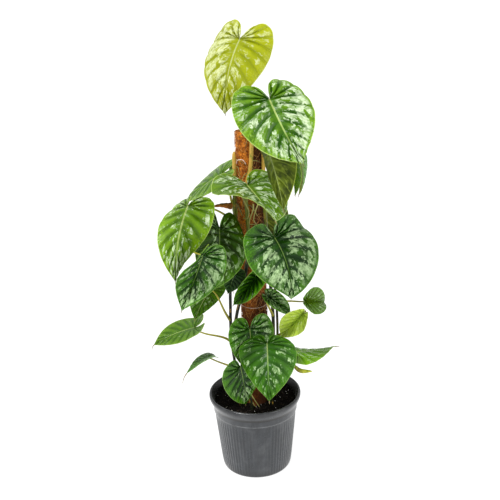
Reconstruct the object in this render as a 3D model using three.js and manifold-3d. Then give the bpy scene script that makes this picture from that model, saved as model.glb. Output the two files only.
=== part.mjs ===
// A silver leaf philodendron that climbs a coir pole, in a ribbed plastic nursery pot.
// Millimetres and degrees, +Z up. The origin is the middle of the pot's base, and the plant's front faces -Y.
import * as THREE from "three";
import { mergeVertices } from "three/addons/utils/BufferGeometryUtils.js";
import Module from "manifold-3d";

const wasm = await Module();
wasm.setup();

const { degToRad, lerp } = THREE.MathUtils;
const GAP = 0.35; // clearance between pieces that touch

// Pot: a 200 mm nursery pot with a turned-down lip, a plain band and fine upright ribs.
const POT = {
  height: 175,
  rimRadius: 100,
  mouthRadius: 95,
  lipDrop: 14,
  lipRounding: 1.5,
  bandRadius: 91.5,
  bandFoot: 136,
  bandStep: 2,
  ribTopRadius: 88.8,
  baseRadius: 75,
  baseRounding: 5,
  wall: 2,
  floor: 3,
  ribs: 72,
  ribDepth: 0.9,
  roundSides: 40,
};
const DRAIN = { count: 8, radius: 6, sides: 8, ringRadius: 52 };
const SOIL = { level: 154, relief: 3.5, rings: 4, poleClearance: 1.5, holeSides: 12 };

// Pole: coir fibre round a wooden stake, pushed down nearly to the pot's floor.
const POLE = {
  x: 5, radius: 28, bore: 13, foot: 30, top: 752, relief: 1.6, rimRounding: 2, sides: 18, rings: 18,
};
const STAKE = { radius: 12.4, top: 742, chamfer: 2, sides: 16 };

// Stems root in the soil, rise beside the pole and then lie against it.
const STEM = { sides: 7, steps: 24, footHeight: 105, uprightTo: 165, holeClearance: 1.2 };
const POLE_TO_STEM = 33.6; // from the pole's axis to the axis of a stem that lies against it
const PETIOLE = { sides: 5, steps: 6, footRadius: 2.5, endRadius: 1.4 };
const AERIAL_ROOT = { sides: 4, steps: 5, footRadius: 1.4, endRadius: 0.7 };

// Blades: columns of the grid follow the veins, from the sinus round to the tip.
const BLADE = {
  thickness: 0.8,
  columns: 10,
  smallColumns: 8, // for blades under smallLength
  smallLength: 85,
  rings: 3,
  quilting: 0.016, // rise between two veins, in blade lengths
  marginQuilting: 0.4, // share of that rise which is left at the margin
  lastBasalVein: 0.45, // veins before this one all leave the midrib at the petiole
  veinCrowding: 1.6,
  veinSwing: 0.58,
  veinRise: 0.27,
  lobeReach: 0.33, // in blade lengths
};

const COLOURS = {
  pot: 0x45474a,
  soil: 0x1f1713,
  coir: 0xa65a24,
  stake: 0xb08d5c,
  stem: 0x4f5f22,
  dry: 0x9a5a24,
  young: 0xb2bb2a,
  light: 0x74a32d,
  mature: 0x2f6b2b,
};

// Right half of a blade's outline, x in blade widths and y in blade lengths,
// from the sinus at the petiole, round the lobe, to the tip.
const MARGIN = [
  [0.012, -0.035], [0.045, -0.15], [0.12, -0.27], [0.235, -0.325], [0.36, -0.27], [0.455, -0.12], [0.5, 0.08],
  [0.475, 0.29], [0.39, 0.5], [0.27, 0.69], [0.145, 0.84], [0.05, 0.94], [0, 1],
];

// A stem's route: free points beside the pole, then points against it, each an angle round the pole and a height.
// Angle 0 is +X and -90 is the plant's front.
const STEMS = {
  left: {
    foot: [-32, -24],
    lowRadius: 2.7,
    topRadius: 4,
    free: [[-40, -20, 250], [-46, -12, 310], [-45, -7, 380], [-42, -4, 440]],
    held: [[-168, 520], [-168, 600], [-153, 670], [-150, 715]],
  },
  front: {
    foot: [-8, -47],
    lowRadius: 3.1,
    topRadius: 4,
    free: [[-20, -40, 250], [-37, -30, 330], [-31, -27, 375], [-20, -27, 415]],
    held: [[-112, 480], [-102, 550], [-104, 640], [-86, 690], [-80, 735], [-79, 755]],
  },
  right: {
    foot: [36, -26],
    lowRadius: 3.2,
    topRadius: 4,
    free: [[41, -22, 260], [44, -17, 350], [41, -14, 420]],
    held: [[-25, 490], [-30, 560], [-36, 640], [-32, 720], [-24, 765]],
  },
  outer_right: {
    foot: [46, 10],
    lowRadius: 2.7,
    topRadius: 2.7,
    free: [[51, 6, 250], [53, 2, 340], [51, 2, 400], [47, 4, 440]],
    held: [],
  },
  back: {
    foot: [0, 46],
    lowRadius: 3.4,
    topRadius: 4,
    free: [],
    held: [[96, 230], [92, 330], [100, 430], [94, 540], [90, 640], [98, 730]],
    above: [[2, 30, 805]],
  },
};

// Leaves. at: where the petiole meets the blade. length: from there to the tip.
// face: the side that the tip points to, 0 to the front and 90 to +X. hang: how far the tip points down there.
// swing and roll turn the blade about its own normal and midrib. bend: how far the blade curls down to its tip.
// lobe: rise of the two lobes. cup: rise of the sides. fold: rise of each half. twist: turn of the tip.
// stem and node: the stem and the height where the petiole leaves it. lean: the petiole's slant to the blade.
// reach and outward: how far the petiole arches, and how level it leaves its stem.
const LEAF_DEFAULTS = {
  wide: 1.03, swing: 0, roll: 0, bend: 25, lobe: 10, cup: -15, fold: 5, twist: 0,
  lean: 35, reach: 0.35, outward: 0.6,
};
const LEAVES = {
  crown: {
    at: [-5, 12, 924], length: 149, wide: 0.95, face: 7, hang: 50, swing: -29, roll: -21, bend: 62, lobe: -9,
    cup: -59, fold: 12, twist: 7, stem: "back", node: 795, outward: 0.1, colour: COLOURS.young,
  },
  shoulder: {
    at: [46, -80, 825], length: 159, wide: 0.94, face: 14, hang: 47, swing: 9, roll: -1, bend: -19, lobe: -36,
    cup: -20, fold: 2, twist: -29, stem: "right", node: 740, colour: COLOURS.light,
  },
  right_hanging: {
    at: [40, -118, 741], length: 116, wide: 0.82, face: 150, hang: 93, swing: -22, roll: -10, bend: 15,
    lobe: 15, cup: 45, fold: 10, stem: "right", node: 712, lean: 60, reach: 0.6, outward: 0.2,
    colour: COLOURS.mature,
  },
  right_edge: {
    at: [84, -25, 702], length: 80, face: 100, hang: 78, bend: 10, fold: 20, stem: "right", node: 620,
    colour: COLOURS.light,
  },
  right_curled: {
    at: [104, 25, 684], length: 75, face: 80, hang: 80, bend: 20, fold: 25, stem: "back", node: 660,
    colour: COLOURS.mature,
  },
  collar: {
    at: [0, -82, 663], length: 144, face: 20, hang: 10, bend: 5, lobe: 15, cup: -40, fold: 15, twist: 45,
    stem: "front", node: 640, lean: 60, colour: COLOURS.light,
  },
  left_shoulder: {
    at: [-115, -97, 631], length: 147, wide: 0.75, face: -20, hang: 47, swing: -7, roll: -11, bend: 37,
    lobe: -58, cup: 8, fold: -27, twist: 68, stem: "left", node: 560, colour: COLOURS.light,
  },
  left_upper: {
    at: [-50, -12, 669], length: 105, face: -85, hang: 30, swing: -15, roll: 5, bend: 20,
    stem: "left", node: 600, colour: COLOURS.mature,
  },
  left_behind: {
    at: [-1, 62, 674], length: 90, face: -140, hang: 75, stem: "back", node: 620, colour: COLOURS.light,
  },
  left_inner: {
    at: [-59, -61, 570], length: 129, face: 30, hang: 52, swing: -15, roll: 25, bend: 48, lobe: 5, cup: -10,
    fold: 10, twist: -34, stem: "left", node: 500, colour: COLOURS.mature,
  },
  left_middle: {
    at: [-89, -146, 549], length: 118, wide: 0.86, face: 17, hang: 88, swing: -21, roll: 33, bend: 8, lobe: 42,
    cup: 0, fold: 29, twist: -84, lean: -9, reach: 0.4, stem: "left", node: 455, colour: COLOURS.mature,
  },
  breast: {
    at: [49, -82, 556], length: 130, wide: 1.25, face: 27, hang: 43, swing: 10, roll: 7, bend: 57, lobe: 56,
    cup: -47, fold: 24, twist: -44, stem: "right", node: 500, colour: COLOURS.mature,
  },
  left_under: {
    at: [-84, -20, 426], length: 75, face: 200, hang: 67, swing: 30, bend: 30, lobe: 15, fold: 10,
    stem: "left", node: 350, colour: COLOURS.mature,
  },
  left_low: {
    at: [-121, -44, 352], length: 92, wide: 1, face: -84, hang: 9, roll: -1, bend: 23, lobe: 60, cup: 0, fold: 3,
    twist: 25, stem: "left", node: 300, colour: COLOURS.light,
  },
  left_small: {
    at: [-94, -60, 292], length: 57, wide: 0.89, face: -76, hang: 16, swing: 8, roll: -12, bend: 23, lobe: -63,
    cup: 9, fold: 2, stem: "front", node: 235, colour: COLOURS.mature,
  },
  inner_narrow: {
    at: [14, -50, 464], length: 81, face: -5, hang: 80, swing: -40, bend: 10, cup: 15, fold: 55,
    stem: "front", node: 415, colour: COLOURS.mature,
  },
  inner_dark: {
    at: [-32, -40, 468], length: 46, face: -10, hang: 80, swing: -20, bend: 10, stem: "front", node: 425,
    colour: COLOURS.mature,
  },
  right_narrow: {
    at: [34, -45, 417], length: 65, face: 20, hang: 75, swing: 45, fold: 60, cup: 0, bend: 10, stem: "right",
    node: 360, colour: COLOURS.mature,
  },
  right_small: {
    at: [112, -12, 388], length: 76, wide: 0.98, face: 116, hang: 19, swing: 14, roll: -65, bend: 20, lobe: 31,
    cup: -22, fold: 50, twist: 9, stem: "outer_right", node: 375, colour: COLOURS.mature,
  },
  right_backlit: {
    at: [106, -30, 368], length: 86, face: -110, hang: 52, swing: -11, roll: 85, bend: -6, lobe: 13, cup: -14,
    fold: 63, twist: -13, stem: "outer_right", node: 300, colour: COLOURS.young,
  },
  centre_low: {
    at: [-6, -50, 347], length: 101, face: 15, hang: 80, roll: 10, bend: 5, lobe: 20, cup: -10, fold: 10,
    twist: 10, stem: "front", node: 280, colour: COLOURS.mature,
  },
  front_low: {
    at: [28, -98, 336], length: 116, wide: 1.12, face: 0, hang: 40, bend: 30, lobe: -55, cup: -30, fold: -10,
    twist: -20, stem: "right", node: 230, colour: COLOURS.mature,
  },
  front_left_low: {
    at: [-28, -88, 281], length: 104, face: 10, hang: 95, swing: 10, roll: 30, bend: 15, lobe: 20, cup: -10,
    fold: 10, twist: 5, stem: "front", node: 210, colour: COLOURS.mature,
  },
  right_low: {
    at: [87, -34, 283], length: 103, face: 105, hang: 12, swing: 10, bend: -10, cup: -15, fold: 0, twist: 35,
    stem: "right", node: 220, colour: COLOURS.light,
  },
  back_high: {
    at: [24, 88, 568], length: 120, face: 165, hang: 60, bend: 40, stem: "back", node: 508,
    colour: COLOURS.mature,
  },
  back_middle: {
    at: [-35, 75, 490], length: 120, face: 200, hang: 60, bend: 45, stem: "back", node: 430,
    colour: COLOURS.mature,
  },
  back_low: {
    at: [5, 85, 250], length: 90, face: 180, hang: 60, bend: 40, stem: "back", node: 215,
    colour: COLOURS.mature,
  },
};

// A young leaf still rolled into a spindle on its own petiole, and a withered leaf sheath that clings to a stem.
// path: points along each, from its foot.
const SPINDLE = {
  path: [[84, -22, 246], [98, -24, 233], [124, -26, 231]], sides: 7, steps: 6, footRadius: 4.5, endRadius: 0.8,
  stem: "right", node: 205, reach: 0.35, outward: 0.6,
};
const DRY_SHEATH = {
  path: [[-34.2, -11.4, 602], [-54, -20, 607], [-76, -22, 605]], sides: 6, steps: 5, footRadius: 7, endRadius: 1.5,
};

// Aerial roots leave the stems that lie against the pole and cling round it, one to each side in turn.
const ROOTS = { spacing: 65, sweep: 40, drop: 26, lowest: 480, topMargin: 10 };

// Solids and meshes pass through these two, so that every cut or join is a closed body.

function toSolid(geometry) {
  const bare = geometry.clone();
  bare.deleteAttribute("normal");
  bare.deleteAttribute("uv");
  const merged = mergeVertices(bare, 1e-4);
  return new wasm.Manifold(new wasm.Mesh({
    numProp: 3,
    vertProperties: new Float32Array(merged.attributes.position.array),
    triVerts: new Uint32Array(merged.index.array),
  }));
}

function toGeometry(solid) {
  const mesh = solid.getMesh();
  const geometry = new THREE.BufferGeometry();
  geometry.setAttribute("position", new THREE.BufferAttribute(new Float32Array(mesh.vertProperties), 3));
  geometry.setIndex(new THREE.BufferAttribute(new Uint32Array(mesh.triVerts), 1));
  geometry.computeVertexNormals();
  return geometry;
}

function indexed(points, triangles) {
  const geometry = new THREE.BufferGeometry();
  const numbers = points.flatMap((point) => point.toArray());
  geometry.setAttribute("position", new THREE.Float32BufferAttribute(numbers, 3));
  geometry.setIndex(triangles.flat());
  geometry.computeVertexNormals();
  return geometry;
}

// A turned body about the Z axis. The profile runs from the axis, round the outside and back, as [radius, height].
function turned(profile, sides) {
  const geometry = new THREE.LatheGeometry(profile.map(([r, z]) => new THREE.Vector2(r, z)), sides);
  return geometry.rotateX(Math.PI / 2);
}

// An upright cylinder about the Z axis, half of it above the origin.
function upright(radius, height, sides) {
  return new THREE.CylinderGeometry(radius, radius, height, sides).rotateX(Math.PI / 2);
}

// A stack of rings about the Z axis, closed by a fan at each end. radiusAt takes the side and the ring.
function ringStack(heights, sides, radiusAt) {
  const points = [];
  const triangles = [];
  for (let row = 0; row < heights.length; row += 1) {
    for (let k = 0; k < sides; k += 1) {
      const angle = (2 * Math.PI * k) / sides;
      const r = radiusAt(k, row);
      points.push(new THREE.Vector3(r * Math.cos(angle), r * Math.sin(angle), heights[row]));
    }
  }
  for (let row = 0; row + 1 < heights.length; row += 1) {
    for (let k = 0; k < sides; k += 1) {
      const a = row * sides + k;
      const b = row * sides + ((k + 1) % sides);
      triangles.push([a, b, b + sides], [a, b + sides, a + sides]);
    }
  }
  const low = points.push(new THREE.Vector3(0, 0, heights[0])) - 1;
  const high = points.push(new THREE.Vector3(0, 0, heights[heights.length - 1])) - 1;
  const lastRow = (heights.length - 1) * sides;
  for (let k = 0; k < sides; k += 1) {
    triangles.push([low, (k + 1) % sides, k]);
    triangles.push([high, lastRow + k, lastRow + ((k + 1) % sides)]);
  }
  return indexed(points, triangles);
}

// A round bar along a curve that tapers from one radius to the other.
function taperedBar(curve, { sides, steps, footRadius, endRadius }) {
  const frames = curve.computeFrenetFrames(steps, false);
  const points = [];
  const triangles = [];
  for (let i = 0; i <= steps; i += 1) {
    const centre = curve.getPointAt(i / steps);
    const radius = lerp(footRadius, endRadius, i / steps);
    for (let k = 0; k < sides; k += 1) {
      const angle = (2 * Math.PI * k) / sides;
      const rim = centre.clone();
      rim.addScaledVector(frames.normals[i], radius * Math.cos(angle));
      rim.addScaledVector(frames.binormals[i], radius * Math.sin(angle));
      points.push(rim);
    }
  }
  for (let i = 0; i < steps; i += 1) {
    for (let k = 0; k < sides; k += 1) {
      const a = i * sides + k;
      const b = i * sides + ((k + 1) % sides);
      triangles.push([a, b, b + sides], [a, b + sides, a + sides]);
    }
  }
  const last = steps * sides;
  for (let k = 1; k + 1 < sides; k += 1) {
    triangles.push([0, k + 1, k], [last, last + k, last + k + 1]);
  }
  return indexed(points, triangles);
}

// Pot

function makePot() {
  const radiusOf = (z) => lerp(POT.baseRadius, POT.ribTopRadius, z / POT.bandFoot);
  const footTop = POT.baseRounding + POT.floor;
  const foot = turned([
    [0, 0],
    [POT.baseRadius - POT.baseRounding / 2, 0],
    [radiusOf(POT.baseRounding), POT.baseRounding],
    [radiusOf(footTop), footTop],
    [0, footTop],
  ], POT.roundSides);
  const ribSpan = [POT.baseRounding, POT.bandFoot];
  const body = ringStack(ribSpan, 2 * POT.ribs, (k, row) => radiusOf(ribSpan[row]) + (k % 2) * POT.ribDepth);

  const lipFoot = POT.height - POT.lipDrop;
  const band = turned([
    [0, POT.bandFoot - POT.bandStep],
    [POT.ribTopRadius, POT.bandFoot - POT.bandStep],
    [POT.bandRadius - 0.5, POT.bandFoot + POT.bandStep],
    [POT.bandRadius, lipFoot],
    [POT.rimRadius - POT.lipRounding, lipFoot],
    [POT.rimRadius, POT.height - 2 * POT.lipRounding],
    [POT.rimRadius - POT.lipRounding, POT.height],
    [0, POT.height],
  ], POT.roundSides);

  const cavity = turned([
    [0, POT.floor],
    [innerRadius(POT.floor), POT.floor],
    [innerRadius(lipFoot), lipFoot],
    [POT.mouthRadius, POT.height - POT.lipRounding],
    [POT.mouthRadius, 2 * POT.height],
    [0, 2 * POT.height],
  ], POT.roundSides);
  let pot = toSolid(foot).add(toSolid(body)).add(toSolid(band)).subtract(toSolid(cavity));
  const drain = upright(DRAIN.radius, 4 * POT.floor, DRAIN.sides);
  for (let i = 0; i < DRAIN.count; i += 1) {
    const angle = (2 * Math.PI * (i + 0.5)) / DRAIN.count;
    const x = DRAIN.ringRadius * Math.cos(angle);
    const y = DRAIN.ringRadius * Math.sin(angle);
    pot = pot.subtract(toSolid(drain.clone().translate(x, y, 0)));
  }
  return toGeometry(pot);
}

// Radius of the pot's inside below the lip.
function innerRadius(z) {
  return lerp(POT.baseRadius, POT.bandRadius, z / (POT.height - POT.lipDrop)) - POT.wall;
}

// Soil: fills the pot to its level, with a lumpy top and a plain hole for the pole and for each stem.

function soilTop(x, y) {
  const broad = Math.sin(0.11 * x + 1.3) * Math.cos(0.13 * y - 0.4);
  const fine = Math.sin(0.23 * x - 0.19 * y);
  return SOIL.level + SOIL.relief * (0.6 * broad + 0.4 * fine);
}

function makeSoil() {
  const sides = POT.roundSides;
  const points = [];
  const triangles = [];
  const wallRadius = innerRadius(SOIL.level) - GAP;
  const footRadius = innerRadius(POT.floor) - GAP;
  const ringAt = (radius, heightAt) => {
    const start = points.length;
    for (let k = 0; k < sides; k += 1) {
      const angle = (2 * Math.PI * k) / sides + Math.PI / 2;
      const x = radius * Math.cos(angle);
      const y = radius * Math.sin(angle);
      points.push(new THREE.Vector3(x, y, heightAt(x, y)));
    }
    return start;
  };
  const join = (lower, upper) => {
    for (let k = 0; k < sides; k += 1) {
      const next = (k + 1) % sides;
      triangles.push([lower + k, lower + next, upper + next], [lower + k, upper + next, upper + k]);
    }
  };
  let ring = ringAt(footRadius, () => POT.floor + GAP);
  const foot = points.push(new THREE.Vector3(0, 0, POT.floor + GAP)) - 1;
  for (let k = 0; k < sides; k += 1) {
    triangles.push([foot, ring + ((k + 1) % sides), ring + k]);
  }
  for (let i = 0; i < SOIL.rings; i += 1) {
    const next = ringAt(wallRadius * (1 - i / SOIL.rings), i === 0 ? () => SOIL.level : soilTop);
    join(ring, next);
    ring = next;
  }
  const middle = points.push(new THREE.Vector3(0, 0, soilTop(0, 0))) - 1;
  for (let k = 0; k < sides; k += 1) {
    triangles.push([middle, ring + k, ring + ((k + 1) % sides)]);
  }
  let soil = toSolid(indexed(points, triangles));
  const cut = (radius, x, y, low) => {
    const height = POT.height - low;
    const hole = upright(radius, height, SOIL.holeSides).translate(x, y, low + height / 2);
    soil = soil.subtract(toSolid(hole));
  };
  cut(POLE.radius + SOIL.poleClearance, POLE.x, 0, POLE.foot - GAP);
  cut(POLE.bore, POLE.x, 0, POT.floor);
  for (const stem of Object.values(STEMS)) {
    cut(stem.lowRadius + STEM.holeClearance, stem.foot[0], stem.foot[1], STEM.footHeight - GAP);
  }
  return toGeometry(soil);
}

// Pole: a rough sleeve of fibre on a round stake.

function fibreRelief(k, row) {
  const wave = Math.sin(1.9 * k + 0.7 * row) * Math.cos(1.3 * row - 0.8 * k);
  return 0.5 + 0.5 * wave;
}

function makeCoir() {
  const heights = [];
  for (let row = 0; row <= POLE.rings; row += 1) {
    heights.push(lerp(POLE.foot, POLE.top, row / POLE.rings));
  }
  const sleeve = ringStack(heights, POLE.sides, (k, row) => {
    const rounding = row === POLE.rings ? POLE.rimRounding : 0;
    return POLE.radius - rounding - POLE.relief * fibreRelief(k, row);
  });
  const bore = upright(POLE.bore, 4 * POLE.top, STAKE.sides);
  return toGeometry(toSolid(sleeve).subtract(toSolid(bore)));
}

function makeStake() {
  const { radius, top, chamfer, sides } = STAKE;
  const foot = POT.floor + GAP;
  return turned([[0, foot], [radius, foot], [radius, top - chamfer], [radius - chamfer, top], [0, top]], sides);
}

// Stems with their petioles

function stemCurve(stem) {
  const [x, y] = stem.foot;
  const middle = (STEM.footHeight + STEM.uprightTo) / 2;
  const points = [STEM.footHeight, middle, STEM.uprightTo].map((z) => new THREE.Vector3(x, y, z));
  for (const point of stem.free) {
    points.push(new THREE.Vector3(...point));
  }
  for (const [degrees, z] of stem.held) {
    const angle = degToRad(degrees);
    points.push(new THREE.Vector3(
      POLE.x + POLE_TO_STEM * Math.cos(angle),
      POLE_TO_STEM * Math.sin(angle),
      z,
    ));
  }
  for (const point of stem.above ?? []) {
    points.push(new THREE.Vector3(...point));
  }
  return new THREE.CatmullRomCurve3(points, false, "centripetal");
}

function pointAtHeight(curve, z) {
  let low = 0;
  let high = 1;
  for (let i = 0; i < 30; i += 1) {
    const middle = (low + high) / 2;
    if (curve.getPointAt(middle).z < z) {
      low = middle;
    } else {
      high = middle;
    }
  }
  return curve.getPointAt(low);
}

function leafTurn(leaf) {
  const about = (x, y, z, degrees) => new THREE.Quaternion().setFromAxisAngle(
    new THREE.Vector3(x, y, z),
    degToRad(degrees),
  );
  return about(0, 0, 1, leaf.face - 90)
    .multiply(about(0, 1, 0, leaf.hang))
    .multiply(about(0, 0, 1, leaf.swing))
    .multiply(about(1, 0, 0, -leaf.roll));
}

// A stalk rises out of its stem and bends over until it arrives at its end in the given direction.
function stalkCurve(stem, { node, reach, outward }, end, arrival) {
  const start = pointAtHeight(stemCurve(stem), node);
  const span = start.distanceTo(end);
  const away = end.clone().sub(start).setZ(0).normalize();
  const leave = away.multiplyScalar(outward).setZ(Math.sqrt(1 - outward ** 2));
  return new THREE.CubicBezierCurve3(
    start,
    start.clone().addScaledVector(leave, reach * span),
    end.clone().addScaledVector(arrival, -reach * span),
    end,
  );
}

function petioleCurve(leaf, stem) {
  const turn = leafTurn(leaf);
  const tipward = new THREE.Vector3(1, 0, 0).applyQuaternion(turn);
  const normal = new THREE.Vector3(0, 0, 1).applyQuaternion(turn);
  const lean = degToRad(leaf.lean);
  const arrival = normal.clone().multiplyScalar(Math.cos(lean)).addScaledVector(tipward, Math.sin(lean));
  const seat = BLADE.thickness / 2 + GAP + PETIOLE.endRadius * Math.sin(lean);
  const end = new THREE.Vector3(...leaf.at).addScaledVector(normal, -seat);
  return stalkCurve(stem, leaf, end, arrival);
}

function spindleStalkCurve(stem) {
  const [foot, next] = SPINDLE.path.map((point) => new THREE.Vector3(...point));
  const arrival = next.sub(foot).normalize();
  return stalkCurve(stem, SPINDLE, foot.addScaledVector(arrival, -GAP), arrival);
}

// A root starts inside its stem and follows the pole's surface, to one side and down.
function rootCurve(curve, height, side) {
  const start = pointAtHeight(curve, height);
  const startAngle = Math.atan2(start.y, start.x - POLE.x);
  const points = [start];
  for (const part of [0.35, 0.65, 1]) {
    const angle = startAngle + side * part * degToRad(ROOTS.sweep);
    const r = POLE.radius + 2 * GAP + AERIAL_ROOT.footRadius;
    points.push(new THREE.Vector3(
      POLE.x + r * Math.cos(angle),
      r * Math.sin(angle),
      height - ROOTS.drop * part ** 2,
    ));
  }
  return new THREE.CatmullRomCurve3(points, false, "centripetal");
}

function makeStem(name) {
  const stem = STEMS[name];
  let body = toSolid(taperedBar(stemCurve(stem), {
    sides: STEM.sides, steps: STEM.steps, footRadius: stem.lowRadius, endRadius: stem.topRadius,
  }));
  for (const given of Object.values(LEAVES)) {
    if (given.stem === name) {
      const leaf = { ...LEAF_DEFAULTS, ...given };
      body = body.add(toSolid(taperedBar(petioleCurve(leaf, stem), PETIOLE)));
    }
  }
  if (name === SPINDLE.stem) {
    body = body.add(toSolid(taperedBar(spindleStalkCurve(stem), PETIOLE)));
  }
  if (stem.held.length > 0) {
    const curve = stemCurve(stem);
    const top = stem.held[stem.held.length - 1][1];
    let side = 1;
    for (let z = ROOTS.lowest; z < top - ROOTS.topMargin; z += ROOTS.spacing) {
      body = body.add(toSolid(taperedBar(rootCurve(curve, z, side), AERIAL_ROOT)));
      side = -side;
    }
  }
  return toGeometry(body);
}

// Blades

const marginPoints = MARGIN.map(([x, y]) => new THREE.Vector3(x, y, 0));
const marginCurve = new THREE.CatmullRomCurve3(marginPoints, false, "catmullrom");

// A point of the flat right half. across: 0 at the sinus to 1 at the tip. out: 0 on the midrib to 1 on the margin.
// Lines of equal across are veins, which leave the midrib wide and arch to the tip.
function onHalf(across, out) {
  const edge = marginCurve.getPoint(across);
  const rise = Math.max(0, (across - BLADE.lastBasalVein) / (1 - BLADE.lastBasalVein)) ** BLADE.veinCrowding;
  const bulge = { x: BLADE.veinSwing * edge.x, y: lerp(rise, edge.y, BLADE.veinRise) };
  const toBulge = 2 * out * (1 - out);
  const toEdge = out ** 2;
  return [toBulge * bulge.x + toEdge * edge.x, (1 - out) ** 2 * rise + toBulge * bulge.y + toEdge * edge.y];
}

// Bends a flat length into an arc: how far it still reaches, and how far it leaves the straight line.
function arc(curvature, distance) {
  const k = Math.abs(curvature) < 1e-6 ? 1e-6 : curvature;
  return [Math.sin(k * distance) / k, (1 - Math.cos(k * distance)) / k];
}

// A point of the bent blade and its normal. x is across the blade and y along its midrib, in millimetres.
// The blade's own axes are X to the tip, Y to its side and Z out of its upper face.
function onBlade(leaf, x, y, lift) {
  const forward = y >= 0;
  const lobeLength = BLADE.lobeReach * leaf.length;
  const curvature = forward ? degToRad(leaf.bend) / leaf.length : -degToRad(leaf.lobe) / lobeLength;
  const [reach, drop] = arc(curvature, Math.abs(y));
  const turn = Math.abs(curvature * y) * Math.sign(forward ? curvature : -curvature);
  const along = new THREE.Vector3(forward ? reach : -reach, 0, -drop);
  const twist = forward ? degToRad(leaf.twist) * (y / leaf.length) : 0;
  const normal = new THREE.Vector3(Math.sin(turn), 0, Math.cos(turn));
  const side = new THREE.Vector3(0, 1, 0);
  const up = normal.clone().multiplyScalar(Math.cos(twist)).addScaledVector(side, Math.sin(twist));
  const across = side.clone().multiplyScalar(Math.cos(twist)).addScaledVector(normal, -Math.sin(twist));
  const fold = degToRad(leaf.fold);
  const cup = degToRad(leaf.cup) / (leaf.wide * leaf.length / 2);
  const [spread, rise] = arc(cup, Math.abs(x));
  const outward = Math.sign(x) * (spread * Math.cos(fold) - rise * Math.sin(fold));
  const height = spread * Math.sin(fold) + rise * Math.cos(fold);
  const slope = fold + cup * Math.abs(x);
  const inward = -Math.sign(x) * Math.sin(slope);
  const face = up.clone().multiplyScalar(Math.cos(slope)).addScaledVector(across, inward);
  const point = along.addScaledVector(across, outward).addScaledVector(up, height).addScaledVector(face, lift);
  return [point, face];
}

function makeBlade(leaf) {
  const { rings, thickness, quilting } = BLADE;
  const columns = leaf.length < BLADE.smallLength ? BLADE.smallColumns : BLADE.columns;
  const uppers = [];
  const lowers = [];
  const known = new Map();
  const pointId = (column, ring, half) => {
    const [x, y] = onHalf(column / columns, ring / rings);
    const key = `${Math.round(half * x * 1e6) + 0},${Math.round(y * 1e6) + 0}`;
    if (!known.has(key)) {
      const onEdge = ring === 0 || column === 0 || column === columns;
      const swell = onEdge ? 0 : (column % 2) * (ring === rings ? BLADE.marginQuilting : 1);
      const lift = quilting * leaf.length * swell;
      const [point, face] = onBlade(leaf, half * x * leaf.wide * leaf.length, y * leaf.length, lift);
      known.set(key, uppers.length);
      uppers.push(point.clone().addScaledVector(face, thickness / 2));
      lowers.push(point.clone().addScaledVector(face, -thickness / 2));
    }
    return known.get(key);
  };
  const faces = [];
  const addFace = (p, q, r, half) => {
    if (p !== q && q !== r && r !== p) {
      faces.push(half > 0 ? [p, r, q] : [p, q, r]);
    }
  };
  for (const half of [1, -1]) {
    for (let column = 0; column < columns; column += 1) {
      for (let ring = 0; ring < rings; ring += 1) {
        const a = pointId(column, ring, half);
        const b = pointId(column, ring + 1, half);
        const c = pointId(column + 1, ring + 1, half);
        const d = pointId(column + 1, ring, half);
        addFace(a, b, c, half);
        addFace(a, c, d, half);
      }
    }
  }
  const count = uppers.length;
  const directed = new Set(faces.flatMap(([p, q, r]) => [`${p},${q}`, `${q},${r}`, `${r},${p}`]));
  const triangles = [];
  for (const [p, q, r] of faces) {
    triangles.push([p, q, r], [p + count, r + count, q + count]);
    for (const [from, to] of [[p, q], [q, r], [r, p]]) {
      if (!directed.has(`${to},${from}`)) {
        triangles.push([to, from, from + count], [to, from + count, to + count]);
      }
    }
  }
  return indexed([...uppers, ...lowers], triangles);
}

// The whole plant

function addMesh(group, name, geometry, colour, roughness) {
  const material = new THREE.MeshStandardMaterial({ color: colour, roughness, metalness: 0 });
  const mesh = new THREE.Mesh(geometry, material);
  mesh.name = name;
  group.add(mesh);
  return mesh;
}

const plant = new THREE.Group();
addMesh(plant, "pot", makePot(), COLOURS.pot, 0.55);
addMesh(plant, "soil", makeSoil(), COLOURS.soil, 0.95);

const pole = new THREE.Group();
pole.position.x = POLE.x;
addMesh(pole, "coir_sleeve", makeCoir(), COLOURS.coir, 0.95);
addMesh(pole, "pole_stake", makeStake(), COLOURS.stake, 0.8);
plant.add(pole);

for (const name of Object.keys(STEMS)) {
  addMesh(plant, `stem_${name}`, makeStem(name), COLOURS.stem, 0.5);
}

for (const [name, given] of Object.entries(LEAVES)) {
  const leaf = { ...LEAF_DEFAULTS, ...given };
  const blade = addMesh(plant, `leaf_${name}`, makeBlade(leaf), leaf.colour, 0.4);
  blade.position.set(...leaf.at);
  blade.quaternion.copy(leafTurn(leaf));
}

for (const [name, shape, colour] of [
  ["leaf_unfurling", SPINDLE, COLOURS.young],
  ["dry_sheath", DRY_SHEATH, COLOURS.dry],
]) {
  const curve = new THREE.CatmullRomCurve3(shape.path.map((point) => new THREE.Vector3(...point)));
  addMesh(plant, name, taperedBar(curve, shape), colour, 0.6);
}

export default plant;
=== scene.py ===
import math

import bpy
import numpy as np
from mathutils import Matrix, Vector


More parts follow.
